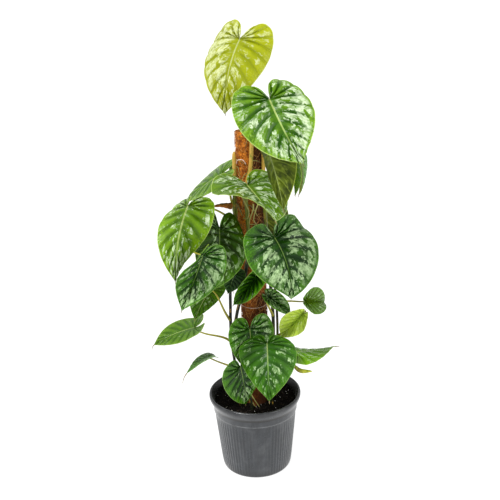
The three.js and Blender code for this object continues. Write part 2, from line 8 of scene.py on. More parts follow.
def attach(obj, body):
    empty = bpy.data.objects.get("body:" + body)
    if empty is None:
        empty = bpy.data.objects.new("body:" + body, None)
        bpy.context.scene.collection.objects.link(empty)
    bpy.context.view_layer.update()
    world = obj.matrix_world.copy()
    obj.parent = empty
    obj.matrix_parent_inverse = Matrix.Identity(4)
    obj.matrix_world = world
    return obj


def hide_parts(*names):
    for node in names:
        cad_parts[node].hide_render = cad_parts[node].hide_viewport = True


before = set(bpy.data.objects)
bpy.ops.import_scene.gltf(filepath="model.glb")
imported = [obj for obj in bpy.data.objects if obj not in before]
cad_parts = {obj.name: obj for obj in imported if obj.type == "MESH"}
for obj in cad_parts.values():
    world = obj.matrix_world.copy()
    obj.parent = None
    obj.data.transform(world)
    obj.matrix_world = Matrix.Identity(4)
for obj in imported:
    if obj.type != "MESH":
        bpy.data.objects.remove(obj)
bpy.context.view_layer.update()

# A potted silver leaf philodendron on its coir pole.

# Sizes are in metres and angles in degrees. +Z is up and the plant's front faces -Y.

# Pot
POT_HEIGHT = 0.175
RIM_RADIUS = 0.1
MOUTH_RADIUS = 0.095
LIP_DROP = 0.014
LIP_FOOT = POT_HEIGHT - LIP_DROP
BAND_RADIUS = 0.0915
BAND_FOOT = 0.136
RIB_TOP_RADIUS = 0.0888
BASE_RADIUS = 0.075
BASE_ROUNDING = 0.006
FLOOR_CENTRE = 0.00001
POT_WALL = 0.002
POT_FLOOR = 0.003
RIBS = 72
RIB_DEPTH = 0.0009
DRAIN_HOLES = 8
DRAIN_RADIUS = 0.006
DRAIN_RING_RADIUS = 0.052

# Soil
SOIL_LEVEL = 0.154
SOIL_RELIEF = 0.0035
PERLITE_GRAINS = 55
PERLITE_SIZES = (0.0009, 0.0022)
BARK_CHIPS = 260
BARK_SIZES = (0.0015, 0.0042)

# Pole
POLE_X = 0.005
POLE_RADIUS = 0.028
POLE_BORE = 0.013
POLE_FOOT = 0.03
POLE_TOP = 0.752
STAKE_RADIUS = 0.0124
STAKE_TOP = 0.742
STAKE_CHAMFER = 0.002
COIR_FIBRES = 1900
FIBRE_RADIUS = 0.00025
FIBRE_LENGTHS = (0.008, 0.03)
FIBRE_CURL = 2.5
LOWEST_FIBRE = 0.2
TIE_HEIGHT = 0.386
TIE_SLANT = 0.002
TIE_RADIUS = 0.0006

# Stems. They turn green from GREEN_FROM up and keep their husks between HUSKS_FROM and HUSKS_TO.
POLE_TO_STEM = 0.0336
STEM_FOOT_HEIGHT = 0.105
STEM_UPRIGHT_TO = 0.165
STEM_TIP = 0.011
NODE_LENGTH = 0.0035
NODE_SWELL = 0.12
GREEN_FROM = 0.42
GREEN_RISE = 0.25
LOW_SHOOTS = 0.31
HUSKS_FROM = 0.61
HUSKS_TO = 0.78
PETIOLE_FOOT_RADIUS = 0.0025
PETIOLE_END_RADIUS = 0.0014
PETIOLE_FLARE = 0.45
TOUCHING = 0.00035

# Roots. The finer ones: how far above the main root, how far round the pole and how far down.
LOWEST_ROOT = 0.48
ROOT_SPACING = 0.065
ROOT_SWEEP = 40
ROOT_DROP = 0.026
ROOT_FOOT_RADIUS = 0.0014
ROOT_END_RADIUS = 0.0005
ROOT_POINTS = 16
FINER_ROOTS = [(0.012, 24, 0.03), (0.024, 55, 0.012)]
FINER_ROOT_RADIUS = 0.0008

# Blades
BLADE_THICKNESS = 0.0008
PANELS = 11
COLUMNS_PER_PANEL = 6
VEIN_PACKING = 1.35
BLADE_RINGS = 22
QUILTING = 0.017
WAVING = 0.01
LAST_BASAL_VEIN = 0.45
VEIN_CROWDING = 1.6
VEIN_SWING = 0.58
VEIN_RISE = 0.27
LOBE_REACH = 0.33
TAIL_FOOT_RADIUS = 0.0011
TAIL_END_RADIUS = 0.0003

# Right half of a blade's outline, x in blade widths and y in blade lengths,
# from the sinus at the petiole, round the lobe, to the tip.
MARGIN = np.array([
    (0.012, -0.035), (0.045, -0.15), (0.12, -0.27), (0.235, -0.325), (0.36, -0.27), (0.455, -0.12),
    (0.5, 0.08), (0.475, 0.29), (0.39, 0.5), (0.27, 0.69), (0.145, 0.84), (0.05, 0.94), (0, 1),
])

# A stem's route: free points beside the pole, then points against it as angles round the pole and heights.
# Angle 0 is +X and -90 is the plant's front.
STEMS = {
    "left": dict(
        foot=(-0.032, -0.024),
        low_radius=0.0027,
        top_radius=0.004,
        free=[(-0.04, -0.02, 0.25), (-0.046, -0.012, 0.31), (-0.045, -0.007, 0.38), (-0.042, -0.004, 0.44)],
        held=[(-168, 0.52), (-168, 0.6), (-153, 0.67), (-150, 0.715)],
    ),
    "front": dict(
        foot=(-0.008, -0.047),
        low_radius=0.0031,
        top_radius=0.004,
        free=[(-0.02, -0.04, 0.25), (-0.037, -0.03, 0.33), (-0.031, -0.027, 0.375), (-0.02, -0.027, 0.415)],
        held=[(-112, 0.48), (-102, 0.55), (-104, 0.64), (-86, 0.69), (-80, 0.735), (-79, 0.755)],
    ),
    "right": dict(
        foot=(0.036, -0.026),
        low_radius=0.0032,
        top_radius=0.004,
        free=[(0.041, -0.022, 0.26), (0.044, -0.017, 0.35), (0.041, -0.014, 0.42)],
        held=[(-25, 0.49), (-30, 0.56), (-36, 0.64), (-32, 0.72), (-24, 0.765)],
    ),
    "outer_right": dict(
        foot=(0.046, 0.01),
        low_radius=0.0027,
        top_radius=0.0027,
        free=[(0.051, 0.006, 0.25), (0.053, 0.002, 0.34), (0.051, 0.002, 0.4), (0.047, 0.004, 0.44)],
        held=[],
    ),
    "back": dict(
        foot=(0.0, 0.046),
        low_radius=0.0034,
        top_radius=0.004,
        free=[],
        held=[(96, 0.23), (92, 0.33), (100, 0.43), (94, 0.54), (90, 0.64), (98, 0.73)],
        above=[(0.002, 0.03, 0.805)],
    ),
}

# Aerial roots that hang loose before the pole, and two dead ones at its foot
LOOSE_ROOT_RADIUS = 0.0015
LOOSE_ROOTS = [
    [(-0.012, -0.034, 0.628), (-0.004, -0.038, 0.611), (0.001, -0.038, 0.598), (-0.0035, -0.036, 0.582),
     (-0.011, -0.033, 0.583)],
    [(0.02, -0.033, 0.612), (0.013, -0.037, 0.595), (0.01, -0.036, 0.579), (0.015, -0.031, 0.568)],
    [(0.01, -0.035, 0.612), (0.01, -0.037, 0.603), (0.0025, -0.037, 0.582), (0.0, -0.033, 0.566)],
    [(-0.0106, -0.03, 0.187), (0.0, -0.036, 0.17), (0.009, -0.037, 0.154)],
    [(-0.014, -0.032, 0.182), (-0.006, -0.037, 0.167), (0.001, -0.038, 0.154)],
]

# A pale root that arches over the sleeve
PALE_ROOT_RADIUS = 0.0009
PALE_ROOT = [
    (-0.0205, -0.018, 0.6905), (-0.0175, -0.0235, 0.699), (-0.0075, -0.0285, 0.7), (-0.0015, -0.0285, 0.6915),
]

# shade paints the light and shade that fall on a blade as well as its own tone.
# Leaves. at: where the petiole meets the blade. length: from there to the tip. wide: its width in lengths.
# face: the side that the tip points to, 0 to the front and 90 to +X. hang: how far the tip points down there.
# swing and roll turn the blade about its own normal and midrib. bend: how far it curls down to its tip.
# lobe: rise of the two lobes. cup: rise of the sides. fold: rise of each half. twist: turn of the tip.
# stem and node: the stem and the height where the petiole leaves it. lean: the petiole's slant to the blade.
# reach and outward: how far the petiole arches, and how level it leaves its stem.
# silver: how much of the blade is silvered. side and tip: how much more of its right half and of its tip.
# shade: darker below 0 and paler above. warm: towards yellow. quilt: how far it swells between its veins.
# tail and droop: the drip tip's length in blade lengths, and how far it hangs.
# kind: which colours it has. backlit: it has those of a blade that light shines through.
# turned: its upper face is below.
LEAF_DEFAULTS = dict(
    wide=1.03, swing=0, roll=0, bend=25, lobe=10, cup=-15, fold=5, twist=0, lean=35, reach=0.35, outward=0.6,
    kind="mature", silver=0.3, side=0, tip=0, shade=0, warm=0, quilt=1, tail=0.05, droop=0.4, turned=False,
    backlit=False,
)
LEAVES = {
    # The extra silver on the crown's left half and the shoulder's right half (side) is partly painted sheen.
    "crown": dict(
        at=(-0.005, 0.012, 0.924), length=0.149, wide=0.95, face=7, hang=50, swing=-29, roll=-21, bend=62,
        lobe=-9, cup=-59, fold=12, twist=7, stem="back", node=0.795, outward=0.1, kind="young", silver=0.52,
        side=-0.9, shade=-0.4, quilt=1.25, tail=0.03,
    ),
    "shoulder": dict(
        at=(0.046, -0.08, 0.825), length=0.159, wide=0.94, face=14, hang=47, swing=9, roll=-1, bend=-19,
        lobe=-36, cup=-20, fold=2, twist=-29, stem="right", node=0.74, kind="light", silver=0.53, side=0.55,
        tip=0.3, shade=-0.15, quilt=1.6, tail=0.04,
    ),
    "right_hanging": dict(
        at=(0.04, -0.118, 0.741), length=0.116, wide=0.82, face=150, hang=93, swing=-22, roll=-10, bend=15,
        lobe=15, cup=45, fold=10, stem="right", node=0.712, lean=60, reach=0.6, outward=0.2, silver=0.2,
        shade=-0.2,
    ),
    "right_edge": dict(
        at=(0.084, -0.025, 0.702), length=0.08, face=100, hang=78, bend=10, fold=20, stem="right", node=0.62,
        kind="light", silver=0.15, shade=0.5, warm=-0.4, tail=0.04, turned=True,
    ),
    "right_curled": dict(
        at=(0.104, 0.025, 0.684), length=0.075, face=80, hang=80, bend=20, fold=25, stem="back", node=0.66,
        shade=0.7, tail=0.08,
    ),
    "collar": dict(
        at=(0.0, -0.082, 0.663), length=0.144, face=20, hang=10, bend=5, lobe=15, cup=-40, fold=15, twist=45,
        stem="front", node=0.64, lean=60, kind="light", silver=0.5, tip=0.1, shade=-0.6, warm=0.1, quilt=1.3,
    ),
    "left_shoulder": dict(
        at=(-0.115, -0.097, 0.631), length=0.147, wide=0.75, face=-20, hang=47, swing=-7, roll=-11, bend=37,
        lobe=-58, cup=8, fold=-27, twist=68, stem="left", node=0.56, kind="light", silver=0.42, tip=0.25,
        warm=0.1, quilt=1.2, tail=0.04,
    ),
    "left_upper": dict(
        at=(-0.05, -0.012, 0.669), length=0.105, face=-85, hang=30, swing=-15, roll=5, bend=20, stem="left",
        node=0.6, kind="light", silver=0.02, shade=-0.2, warm=0.05, quilt=0.6, tail=0.04,
    ),
    "left_behind": dict(
        at=(-0.001, 0.062, 0.674), length=0.09, face=-140, hang=75, stem="back", node=0.62, kind="light",
        silver=0.12, shade=0.3, quilt=0.8, tail=0.04,
    ),
    "left_inner": dict(
        at=(-0.059, -0.061, 0.57), length=0.129, face=30, hang=52, swing=-15, roll=25, bend=48, lobe=5,
        cup=-10, fold=10, twist=-34, stem="left", node=0.5, silver=0.34, side=0.1, shade=-0.4, warm=0.05,
        quilt=1.2, tail=0.04,
    ),
    "left_middle": dict(
        at=(-0.089, -0.146, 0.549), length=0.118, wide=0.86, face=17, hang=88, swing=-21, roll=33, bend=8,
        lobe=42, cup=0, fold=29, twist=-84, stem="left", node=0.455, lean=-9, reach=0.4, silver=0.45,
        side=0.5, tip=0.3, shade=-0.1, tail=0.04,
    ),
    "breast": dict(
        at=(0.049, -0.082, 0.556), length=0.13, wide=1.25, face=27, hang=43, swing=10, roll=7, bend=57,
        lobe=56, cup=-47, fold=24, twist=-44, stem="right", node=0.5, silver=0.52, side=0.2, tip=0.3,
        shade=-0.3, tail=0.02,
    ),
    "left_under": dict(
        at=(-0.084, -0.02, 0.426), length=0.075, face=200, hang=67, swing=30, bend=30, lobe=15, fold=10,
        stem="left", node=0.35, silver=0.25, shade=0.25, warm=0.05, quilt=0.9, turned=True,
    ),
    "left_low": dict(
        at=(-0.121, -0.044, 0.352), length=0.092, wide=1, face=-84, hang=9, roll=-1, bend=23, lobe=60, cup=0,
        fold=3, twist=25, stem="left", node=0.3, kind="light", silver=0.02, shade=-0.5, warm=0.05,
        quilt=0.35, tail=0.15, droop=1,
    ),
    "left_small": dict(
        at=(-0.094, -0.06, 0.292), length=0.057, wide=0.89, face=-76, hang=16, swing=8, roll=-12, bend=23,
        lobe=-63, cup=9, fold=2, stem="front", node=0.235, silver=0.15, shade=0.35, quilt=0.7, tail=0.42,
        droop=0.7,
    ),
    "inner_narrow": dict(
        at=(0.014, -0.05, 0.464), length=0.081, face=-5, hang=80, swing=-40, bend=10, cup=15, fold=55,
        stem="front", node=0.415, silver=0.12, quilt=0.9, tail=0.04,
    ),
    "inner_dark": dict(
        at=(-0.032, -0.04, 0.468), length=0.046, face=-10, hang=80, swing=-20, bend=10, stem="front",
        node=0.425, silver=0.03, shade=-0.7, quilt=0.8, tail=0.04,
    ),
    "right_narrow": dict(
        at=(0.034, -0.045, 0.417), length=0.065, face=20, hang=75, swing=45, bend=10, cup=0, fold=60,
        stem="right", node=0.36, silver=0.5, side=0.3, quilt=0.9,
    ),
    "right_small": dict(
        at=(0.112, -0.012, 0.388), length=0.076, wide=0.98, face=116, hang=19, swing=14, roll=-65, bend=20,
        lobe=31, cup=-22, fold=50, twist=9, stem="outer_right", node=0.375, silver=0.28, side=-0.1,
        shade=0.2, warm=0.15, quilt=0.9, tail=0.04,
    ),
    "right_backlit": dict(
        at=(0.106, -0.03, 0.368), length=0.086, face=-110, hang=52, swing=-11, roll=85, bend=-6, lobe=13,
        cup=-14, fold=63, twist=-13, stem="outer_right", node=0.3, kind="young", silver=0.2, shade=0.5,
        quilt=0.8, backlit=True,
    ),
    "centre_low": dict(
        at=(-0.006, -0.05, 0.347), length=0.101, face=15, hang=80, roll=10, bend=5, lobe=20, cup=-10,
        fold=10, twist=10, stem="front", node=0.28, silver=0.42, side=0.2, shade=0.03, quilt=1.1, tail=0.04,
    ),
    "front_low": dict(
        at=(0.028, -0.098, 0.336), length=0.116, wide=1.12, face=0, hang=40, bend=30, lobe=-55, cup=-30,
        fold=-10, twist=-20, stem="right", node=0.23, silver=0.21, shade=-0.4, warm=-0.15, quilt=0.9,
    ),
    "front_left_low": dict(
        at=(-0.028, -0.088, 0.281), length=0.104, face=10, hang=95, swing=10, roll=30, bend=15, lobe=20,
        cup=-10, fold=10, twist=5, stem="front", node=0.21, side=0.5, tip=0.2, shade=-0.1, tail=0.06,
    ),
    "right_low": dict(
        at=(0.087, -0.034, 0.283), length=0.103, face=105, hang=12, swing=10, bend=-10, fold=0, twist=35,
        stem="right", node=0.22, kind="light", silver=0.2, shade=0.45, warm=-0.3, quilt=0.9, tail=0.1,
    ),
    "back_high": dict(
        at=(0.024, 0.088, 0.568), length=0.12, face=165, hang=60, bend=40, stem="back", node=0.508,
        silver=0.4, tip=0.2,
    ),
    "back_middle": dict(
        at=(-0.035, 0.075, 0.49), length=0.12, face=200, hang=60, bend=45, stem="back", node=0.43,
        silver=0.4, tip=0.2,
    ),
    "back_low": dict(
        at=(0.005, 0.085, 0.25), length=0.09, face=180, hang=60, bend=40, stem="back", node=0.215,
        silver=0.35, tip=0.2,
    ),
}
LEAVES = {name: {**LEAF_DEFAULTS, **leaf} for name, leaf in LEAVES.items()}

# Small pieces: points along each, from its foot, and the two radii
SPINDLE = dict(
    path=[(0.084, -0.022, 0.246), (0.098, -0.024, 0.233), (0.124, -0.026, 0.231)],
    foot_radius=0.0045, end_radius=0.0008, stem="right", node=0.205, reach=0.35, outward=0.6,
)
DRY_SHEATH = dict(
    path=[(-0.0342, -0.0114, 0.602), (-0.054, -0.02, 0.607), (-0.076, -0.022, 0.605)],
    foot_radius=0.007, end_radius=0.001,
)

# Light: the floor's half size and glow, the sky's light, and the key light with its width and turn
FLOOR_HALF = 30.0
FLOOR_GLOW = 0.9
SKY_LIGHT = 0.7
KEY_LIGHT = 2.85
KEY_WIDTH = 12
KEY_TURN = (30, 0, -52)

# Camera, fitted to the photograph, with its lens and sensor in millimetres
LENS = 61.2
SENSOR_WIDTH = 36
CAMERA_PLACE = (0.0004, -1.643, 1.104)
CAMERA_PITCH = 20.1
CAMERA_ROLL = -2.05

# Steps between two given points of a curve, and a direction in which no tube runs
CURVE_STEPS = 40
TUBE_SEAM = (0.31, 0.17, 0.93)

randoms = np.random.default_rng(7)


# Meshes

class Shape:
    """Collects points and faces, with the material of each face and named vectors at each face's corners."""

    def __init__(self, names=()):
        self.points = []
        self.count = 0
        self.faces = []
        self.slots = []
        self.vectors = {name: [] for name in names}

    def add(self, points, faces, slot=0, **vectors):
        """vectors: for each name, one vector per point. A name that is left out gets zeros."""
        corners = [i for face in faces for i in face]
        zeros = np.zeros((len(points), 3))
        at_corners = {name: np.asarray(vectors.get(name, zeros), float)[corners] for name in self.vectors}
        self.add_corners(points, faces, [slot] * len(faces), **at_corners)

    def add_corners(self, points, faces, slots, **vectors):
        """slots: one per face. vectors: for each name, one vector for every corner of every face in turn."""
        self.points.append(np.asarray(points, float))
        self.faces += [[self.count + i for i in face] for face in faces]
        self.slots += slots
        self.count += len(points)
        for name, values in vectors.items():
            self.vectors[name].append(values)

    def build(self, name, materials, sharp_from=50):
        mesh = bpy.data.meshes.new(name)
        mesh.from_pydata(np.concatenate(self.points).tolist(), [], self.faces)
        for material in materials:
            mesh.materials.append(material)
        mesh.polygons.foreach_set("material_index", self.slots)
        for key, values in self.vectors.items():
            layer = mesh.attributes.new(key, "FLOAT_VECTOR", "CORNER")
            layer.data.foreach_set("vector", np.concatenate(values).ravel())
        mesh.shade_smooth()
        mesh.set_sharp_from_angle(angle=math.radians(sharp_from))
        mesh.update()
        return stand(name, mesh)


def stand(name, data):
    """A new object in the scene."""
    made = bpy.data.objects.new(name, data)
    bpy.context.scene.collection.objects.link(made)
    return made


def place(piece, node):
    """A finished piece is attached to the root body and stands for one node of the part, which it hides."""
    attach(piece, "root")
    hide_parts(node)


def make_simple(name, solid, material, node):
    """A piece of one solid, given by its points and faces, and of one material."""
    shape = Shape()
    shape.add(*solid)
    place(shape.build(name, [material]), node)


def unit(vectors):
    vectors = np.asarray(vectors, float)
    return vectors / np.maximum(np.linalg.norm(vectors, axis=-1, keepdims=True), 1e-12)


def with_ends(points):
    """A curve's points with one more beyond each end, which the slopes at its ends need."""
    return np.vstack([2 * points[0] - points[1], points, 2 * points[-1] - points[-2]])


def cubic(first, last, start, end, w):
    """Points between two given ones at the shares w of the way, with the slopes start and end there."""
    square = 3 * (last - first) - 2 * start - end
    cube = 2 * (first - last) + start + end
    return first + start * w + square * w ** 2 + cube * w ** 3


def catmull_rom(points, samples):
    """Points evenly spaced along the centripetal Catmull-Rom curve through the given points."""
    points = np.asarray(points, float)
    padded = with_ends(points)
    w = np.linspace(0, 1, CURVE_STEPS, endpoint=False)[:, None]
    dense = []
    for i in range(len(points) - 1):
        p0, p1, p2, p3 = padded[i:i + 4]
        d0, d1, d2 = (np.linalg.norm(b - a) ** 0.5 for a, b in ((p0, p1), (p1, p2), (p2, p3)))
        start = ((p1 - p0) / d0 - (p2 - p0) / (d0 + d1) + (p2 - p1) / d1) * d1
        end = ((p2 - p1) / d1 - (p3 - p1) / (d1 + d2) + (p3 - p2) / d2) * d1
        dense.append(cubic(p1, p2, start, end, w))
    dense.append(points[-1:])
    return resample(np.concatenate(dense), samples)


def resample(points, samples):
    steps = np.linalg.norm(np.diff(points, axis=0), axis=1)
    along = np.concatenate([[0], np.cumsum(steps)])
    wanted = np.linspace(0, along[-1], samples)
    return np.stack([np.interp(wanted, along, points[:, k]) for k in range(3)], axis=1)


def bezier(start, first, second, end, samples):
    t = np.linspace(0, 1, samples)[:, None]
    return start * (1 - t) ** 3 + 3 * first * t * (1 - t) ** 2 + 3 * second * t ** 2 * (1 - t) + end * t ** 3


def taper(start, end, along):
    return start + (end - start) * along


def circle(sides):
    """Angles of evenly spaced corners round a circle."""
    return 2 * np.pi * np.arange(sides) / sides


def around(radius, angles, heights, axis_x=0.0):
    """Points at the given angles and heights about an upright axis."""
    x = axis_x + radius * np.cos(angles)
    y = radius * np.sin(angles)
    return np.stack([x, y, np.broadcast_to(heights, x.shape)], axis=1)


def ring_faces(rows, sides, closed=False):
    """Faces between each ring of points and the next, and between the last and the first if closed."""
    faces = []
    for row in range(rows if closed else rows - 1):
        this = row * sides
        above = (row + 1) % rows * sides
        for k in range(sides):
            following = (k + 1) % sides
            faces.append((this + k, this + following, above + following, above + k))
    return faces


def tube(path, radii, sides):
    """Points and faces of a closed round tube."""
    path = np.asarray(path, float)
    radii = np.broadcast_to(radii, len(path))
    tangents = unit(np.gradient(path, axis=0))
    side = np.cross(tangents[0], TUBE_SEAM)
    angles = circle(sides)[:, None]
    rings = []
    for centre, tangent, radius in zip(path, tangents, radii):
        side = unit(side - tangent * np.dot(side, tangent))
        other = np.cross(tangent, side)
        rings.append(centre + radius * (np.cos(angles) * side + np.sin(angles) * other))
    last = (len(path) - 1) * sides
    ends = [tuple(range(sides - 1, -1, -1)), tuple(range(last, last + sides))]
    return np.concatenate(rings), ring_faces(len(path), sides) + ends


def lathe(profile, sides, radius_change):
    """Points and faces of a ring turned about the Z axis, from a closed loop of radii and heights."""
    angles = circle(sides)
    points = []
    for row, (radius, height) in enumerate(profile):
        points.append(around(radius + radius_change(row, angles), angles, height))
    return np.concatenate(points), ring_faces(len(profile), sides, closed=True)


# Materials

class Graph:
    """A material's nodes, built by short calls that return the socket which the next one reads."""

    def __init__(self, name):
        self.material = bpy.data.materials.new(name)
        self.material.use_nodes = True
        self.tree = self.material.node_tree
        self.shader = self.tree.nodes["Principled BSDF"]
        self.colour = None

    def node(self, kind, **settings):
        made = self.tree.nodes.new(kind)
        for key, value in settings.items():
            setattr(made, key, value)
        return made

    def put(self, socket, value):
        if isinstance(value, bpy.types.NodeSocket):
            self.tree.links.new(value, socket)
        elif isinstance(value, tuple) and socket.type == "RGBA":
            socket.default_value = (*value, 1.0)
        else:
            socket.default_value = value

    def math(self, operation, *values):
        made = self.node("ShaderNodeMath", operation=operation)
        for socket, value in zip(made.inputs, values):
            self.put(socket, value)
        return made.outputs[0]

    def times(self, product, *others):
        for value in others:
            product = self.math("MULTIPLY", product, value)
        return product

    def plus(self, first, second):
        return self.math("ADD", first, second)

    def less(self, first, second):
        return self.math("SUBTRACT", first, second)

    def scale_add(self, value, scale, added):
        return self.math("MULTIPLY_ADD", value, scale, added)

    def magnitude(self, value):
        return self.math("ABSOLUTE", value)

    def above_zero(self, value):
        return self.math("MAXIMUM", value, 0)

    def step(self, value, low, high):
        """0 below low and 1 above high, with a smooth rise between; high may be the lower one."""
        made = self.node("ShaderNodeMapRange", interpolation_type="SMOOTHSTEP")
        self.put(made.inputs["Value"], value)
        self.put(made.inputs["From Min"], min(low, high))
        self.put(made.inputs["From Max"], max(low, high))
        if low > high:
            made.inputs["To Min"].default_value = 1
            made.inputs["To Max"].default_value = 0
        return made.outputs["Result"]

    def cover(self, colour, *masks):
        """Lays a colour over the material, as far as all masks together let it."""
        made = self.node("ShaderNodeMix", data_type="RGBA")
        self.put(made.inputs[0], self.times(*masks))
        self.put(made.inputs[6], self.colour)
        self.put(made.inputs[7], colour)
        self.colour = made.outputs[2]

    def mottle(self, pattern, low, high, dark, light):
        """Starts the material's colour: dark where the pattern is low and light where it is high."""
        self.colour = dark
        self.cover(light, self.step(pattern, low, high))

    def tint(self, amount, below, above):
        """Draws the colour towards one tint where the amount is above 0 and to the other below 0."""
        self.cover(above, self.above_zero(amount))
        self.cover(below, self.above_zero(self.times(amount, -1)))

    def vector(self, x, y, z):
        made = self.node("ShaderNodeCombineXYZ")
        for socket, value in zip(made.inputs, (x, y, z)):
            self.put(socket, value)
        return made.outputs[0]

    def parts(self, vector):
        made = self.node("ShaderNodeSeparateXYZ")
        self.put(made.inputs[0], vector)
        return made.outputs

    def attribute(self, name):
        return self.node("ShaderNodeAttribute", attribute_name=name).outputs["Vector"]

    def place(self):
        return self.node("ShaderNodeTexCoord").outputs["Object"]

    def scaled(self, vector, x, y, z):
        made = self.node("ShaderNodeVectorMath", operation="MULTIPLY")
        self.put(made.inputs[0], vector)
        made.inputs[1].default_value = (x, y, z)
        return made.outputs[0]

    def noise(self, vector, scale, detail=3.0, roughness=0.55, distortion=0.0):
        made = self.node("ShaderNodeTexNoise")
        self.put(made.inputs["Vector"], vector)
        made.inputs["Scale"].default_value = scale
        made.inputs["Detail"].default_value = detail
        made.inputs["Roughness"].default_value = roughness
        made.inputs["Distortion"].default_value = distortion
        return made.outputs["Fac"]

    def cells(self, vector):
        """A random number for each cell of a cell pattern with cells about 1 across."""
        made = self.node("ShaderNodeTexVoronoi")
        self.put(made.inputs["Vector"], vector)
        made.inputs["Scale"].default_value = 1.0
        return self.parts(made.outputs["Color"])[0]

    def bump(self, height, distance, strength):
        made = self.node("ShaderNodeBump")
        self.put(made.inputs["Height"], height)
        made.inputs["Distance"].default_value = distance
        made.inputs["Strength"].default_value = strength
        self.tree.links.new(made.outputs[0], self.shader.inputs["Normal"])

    def finish(self, roughness, specular):
        self.put(self.shader.inputs["Base Color"], self.colour)
        self.put(self.shader.inputs["Roughness"], roughness)
        self.shader.inputs["Specular IOR Level"].default_value = specular
        return self.material


def vein_distance(graph, across, out):
    """Distance to the nearest side vein in blade lengths, and 0 at a vein to 1 between two."""
    panel = graph.math("FRACT", graph.times(across, PANELS))
    between = graph.less(1, graph.magnitude(graph.scale_add(panel, 2, -1)))
    return graph.times(between, 0.5, graph.scale_add(out, 0.12, 0.004)), between


def vein_streaks(graph, across, out, seed, crosswise, lengthwise):
    """Noise drawn out along the veins."""
    place_in_pattern = graph.vector(graph.times(across, crosswise), graph.times(out, lengthwise), seed)
    return graph.noise(place_in_pattern, 1.0, detail=3, roughness=0.6)


def silver_patches(graph, vein_place, plan_parts, spread):
    """Where a blade is silver: angular patches between its veins, of cells that are silver or green."""
    across, out, between = vein_place
    x, y, seed = plan_parts
    silvering, side, tip = spread
    drift = graph.noise(graph.vector(x, y, seed), 13, detail=2)

    def cells(per_panel, outward, sway, shift):
        return graph.cells(graph.vector(
            graph.scale_add(across, PANELS * per_panel, graph.times(drift, sway)),
            graph.scale_add(out, outward, graph.times(drift, shift)),
            seed,
        ))

    broad = cells(1.7, 5, 1.6, 1.1)
    fine = cells(4.2, 10, 4, 3)
    clustered = graph.noise(graph.vector(x, y, seed), 3.6, detail=1)
    share = graph.scale_add(x, side, silvering)
    share = graph.plus(share, graph.times(graph.less(y, 0.35), tip))
    share = graph.plus(share, graph.times(graph.less(clustered, 0.5), 0.8))
    share = graph.less(share, graph.times(graph.step(between, 0.4, 0.05), 0.28))
    excess = graph.less(share, graph.scale_add(broad, 0.55, graph.times(fine, 0.45)))
    full = graph.times(graph.step(excess, 0.02, 0.24), 0.5)
    patches = graph.scale_add(graph.step(excess, -0.05, 0.03), 0.5, full)
    return graph.times(patches, graph.times(graph.step(out, 0.07, 0.17), graph.step(out, 0.97, 0.86)))


def blade_upper(kind):
    """Upper face: silver patches between sunken veins, a pale midrib and a thin pale margin, with painted
    light on the swells and painted shade in the furrows.
    """
    dark, green, bright, silver, rib = UPPER_COLOURS[kind]
    graph = Graph(f"leaf_{kind}_upper")
    plan = graph.attribute("plan")
    across, out, _ = graph.parts(graph.attribute("vein"))
    silvering, shade, warm = graph.parts(graph.attribute("look"))
    side, tip, _ = graph.parts(graph.attribute("spread"))
    x, y, seed = graph.parts(plan)
    distance, between = vein_distance(graph, across, out)
    amount = silver_patches(graph, (across, out, between), (x, y, seed), (silvering, side, tip))

    cloud = graph.noise(plan, 5.5, detail=3, roughness=0.6)
    flecks = graph.noise(plan, 40, detail=3, roughness=0.65)
    streaks = vein_streaks(graph, across, out, seed, 55, 8)
    ragged = graph.scale_add(graph.step(flecks, 0.42, 0.62), 0.7, 0.15)
    broken = graph.scale_add(graph.step(streaks, 0.36, 0.6), 0.75, 0.3)
    on_midrib = graph.step(graph.magnitude(x), 0.013, 0.005)
    graph.mottle(cloud, 0.36, 0.62, dark, green)
    # Painted light on the swells between the veins.
    graph.cover(bright, graph.step(between, 0.3, 0.95), graph.step(out, 0.1, 0.35), 0.35)
    graph.cover(bright, graph.step(out, 0.6, 0.92), ragged)
    graph.cover(bright, graph.step(flecks, 0.52, 0.75), 0.3)
    # Painted shade in the vein furrows.
    graph.cover(dark, graph.step(between, 0.45, 0.02), graph.step(out, 0.98, 0.7), 0.7)
    # The leaf's shade: its own tone together with painted light and shade.
    graph.tint(shade, dark, bright)
    graph.tint(warm, FRESH_GREEN, YELLOW_GREEN)
    graph.cover(silver, amount, broken)
    graph.cover(rib, on_midrib, graph.step(y, 0.95, 0.2), 0.7)
    graph.cover(rib, graph.step(out, 0.974, 0.99), 0.6)

    fine = graph.noise(plan, 110, detail=2)
    pleats = graph.magnitude(graph.math("SINE", graph.times(across, 3 * math.pi * PANELS)))
    height = graph.plus(graph.step(distance, 0, 0.016), graph.times(fine, 0.25))
    height = graph.scale_add(graph.times(pleats, graph.step(out, 0.05, 0.3)), 0.35, height)
    graph.bump(height, 0.0012, 0.9)
    return graph.finish(graph.scale_add(amount, 0.12, 0.27), 0.22)


def blade_under(kind):
    """Lower face: matt and without silver, with raised side veins that are a little paler."""
    dark, green, pale = UNDER_COLOURS[kind]
    graph = Graph(f"leaf_{kind}_under")
    _, shade, _ = graph.parts(graph.attribute("look"))
    plan = graph.attribute("plan")
    _, _, seed = graph.parts(plan)
    across, out, _ = graph.parts(graph.attribute("vein"))
    distance, _ = vein_distance(graph, across, out)
    veins = graph.step(distance, 0.006, 0.001)
    cloud = graph.noise(plan, 6, detail=4)
    streaks = vein_streaks(graph, across, out, seed, 26, 3.5)
    graph.mottle(cloud, 0.35, 0.65, dark, green)
    graph.cover(pale, graph.step(streaks, 0.5, 0.68), 0.4)
    graph.cover(pale, veins, 0.3)
    graph.cover(pale, graph.step(out, 0.96, 0.99))
    # Paler with the leaf's shade, which also paints light falling on the blade.
    graph.cover(pale, graph.above_zero(shade))
    graph.bump(graph.plus(veins, graph.times(graph.noise(plan, 90), 0.4)), 0.0004, 0.6)
    return graph.finish(0.55, 0.2)


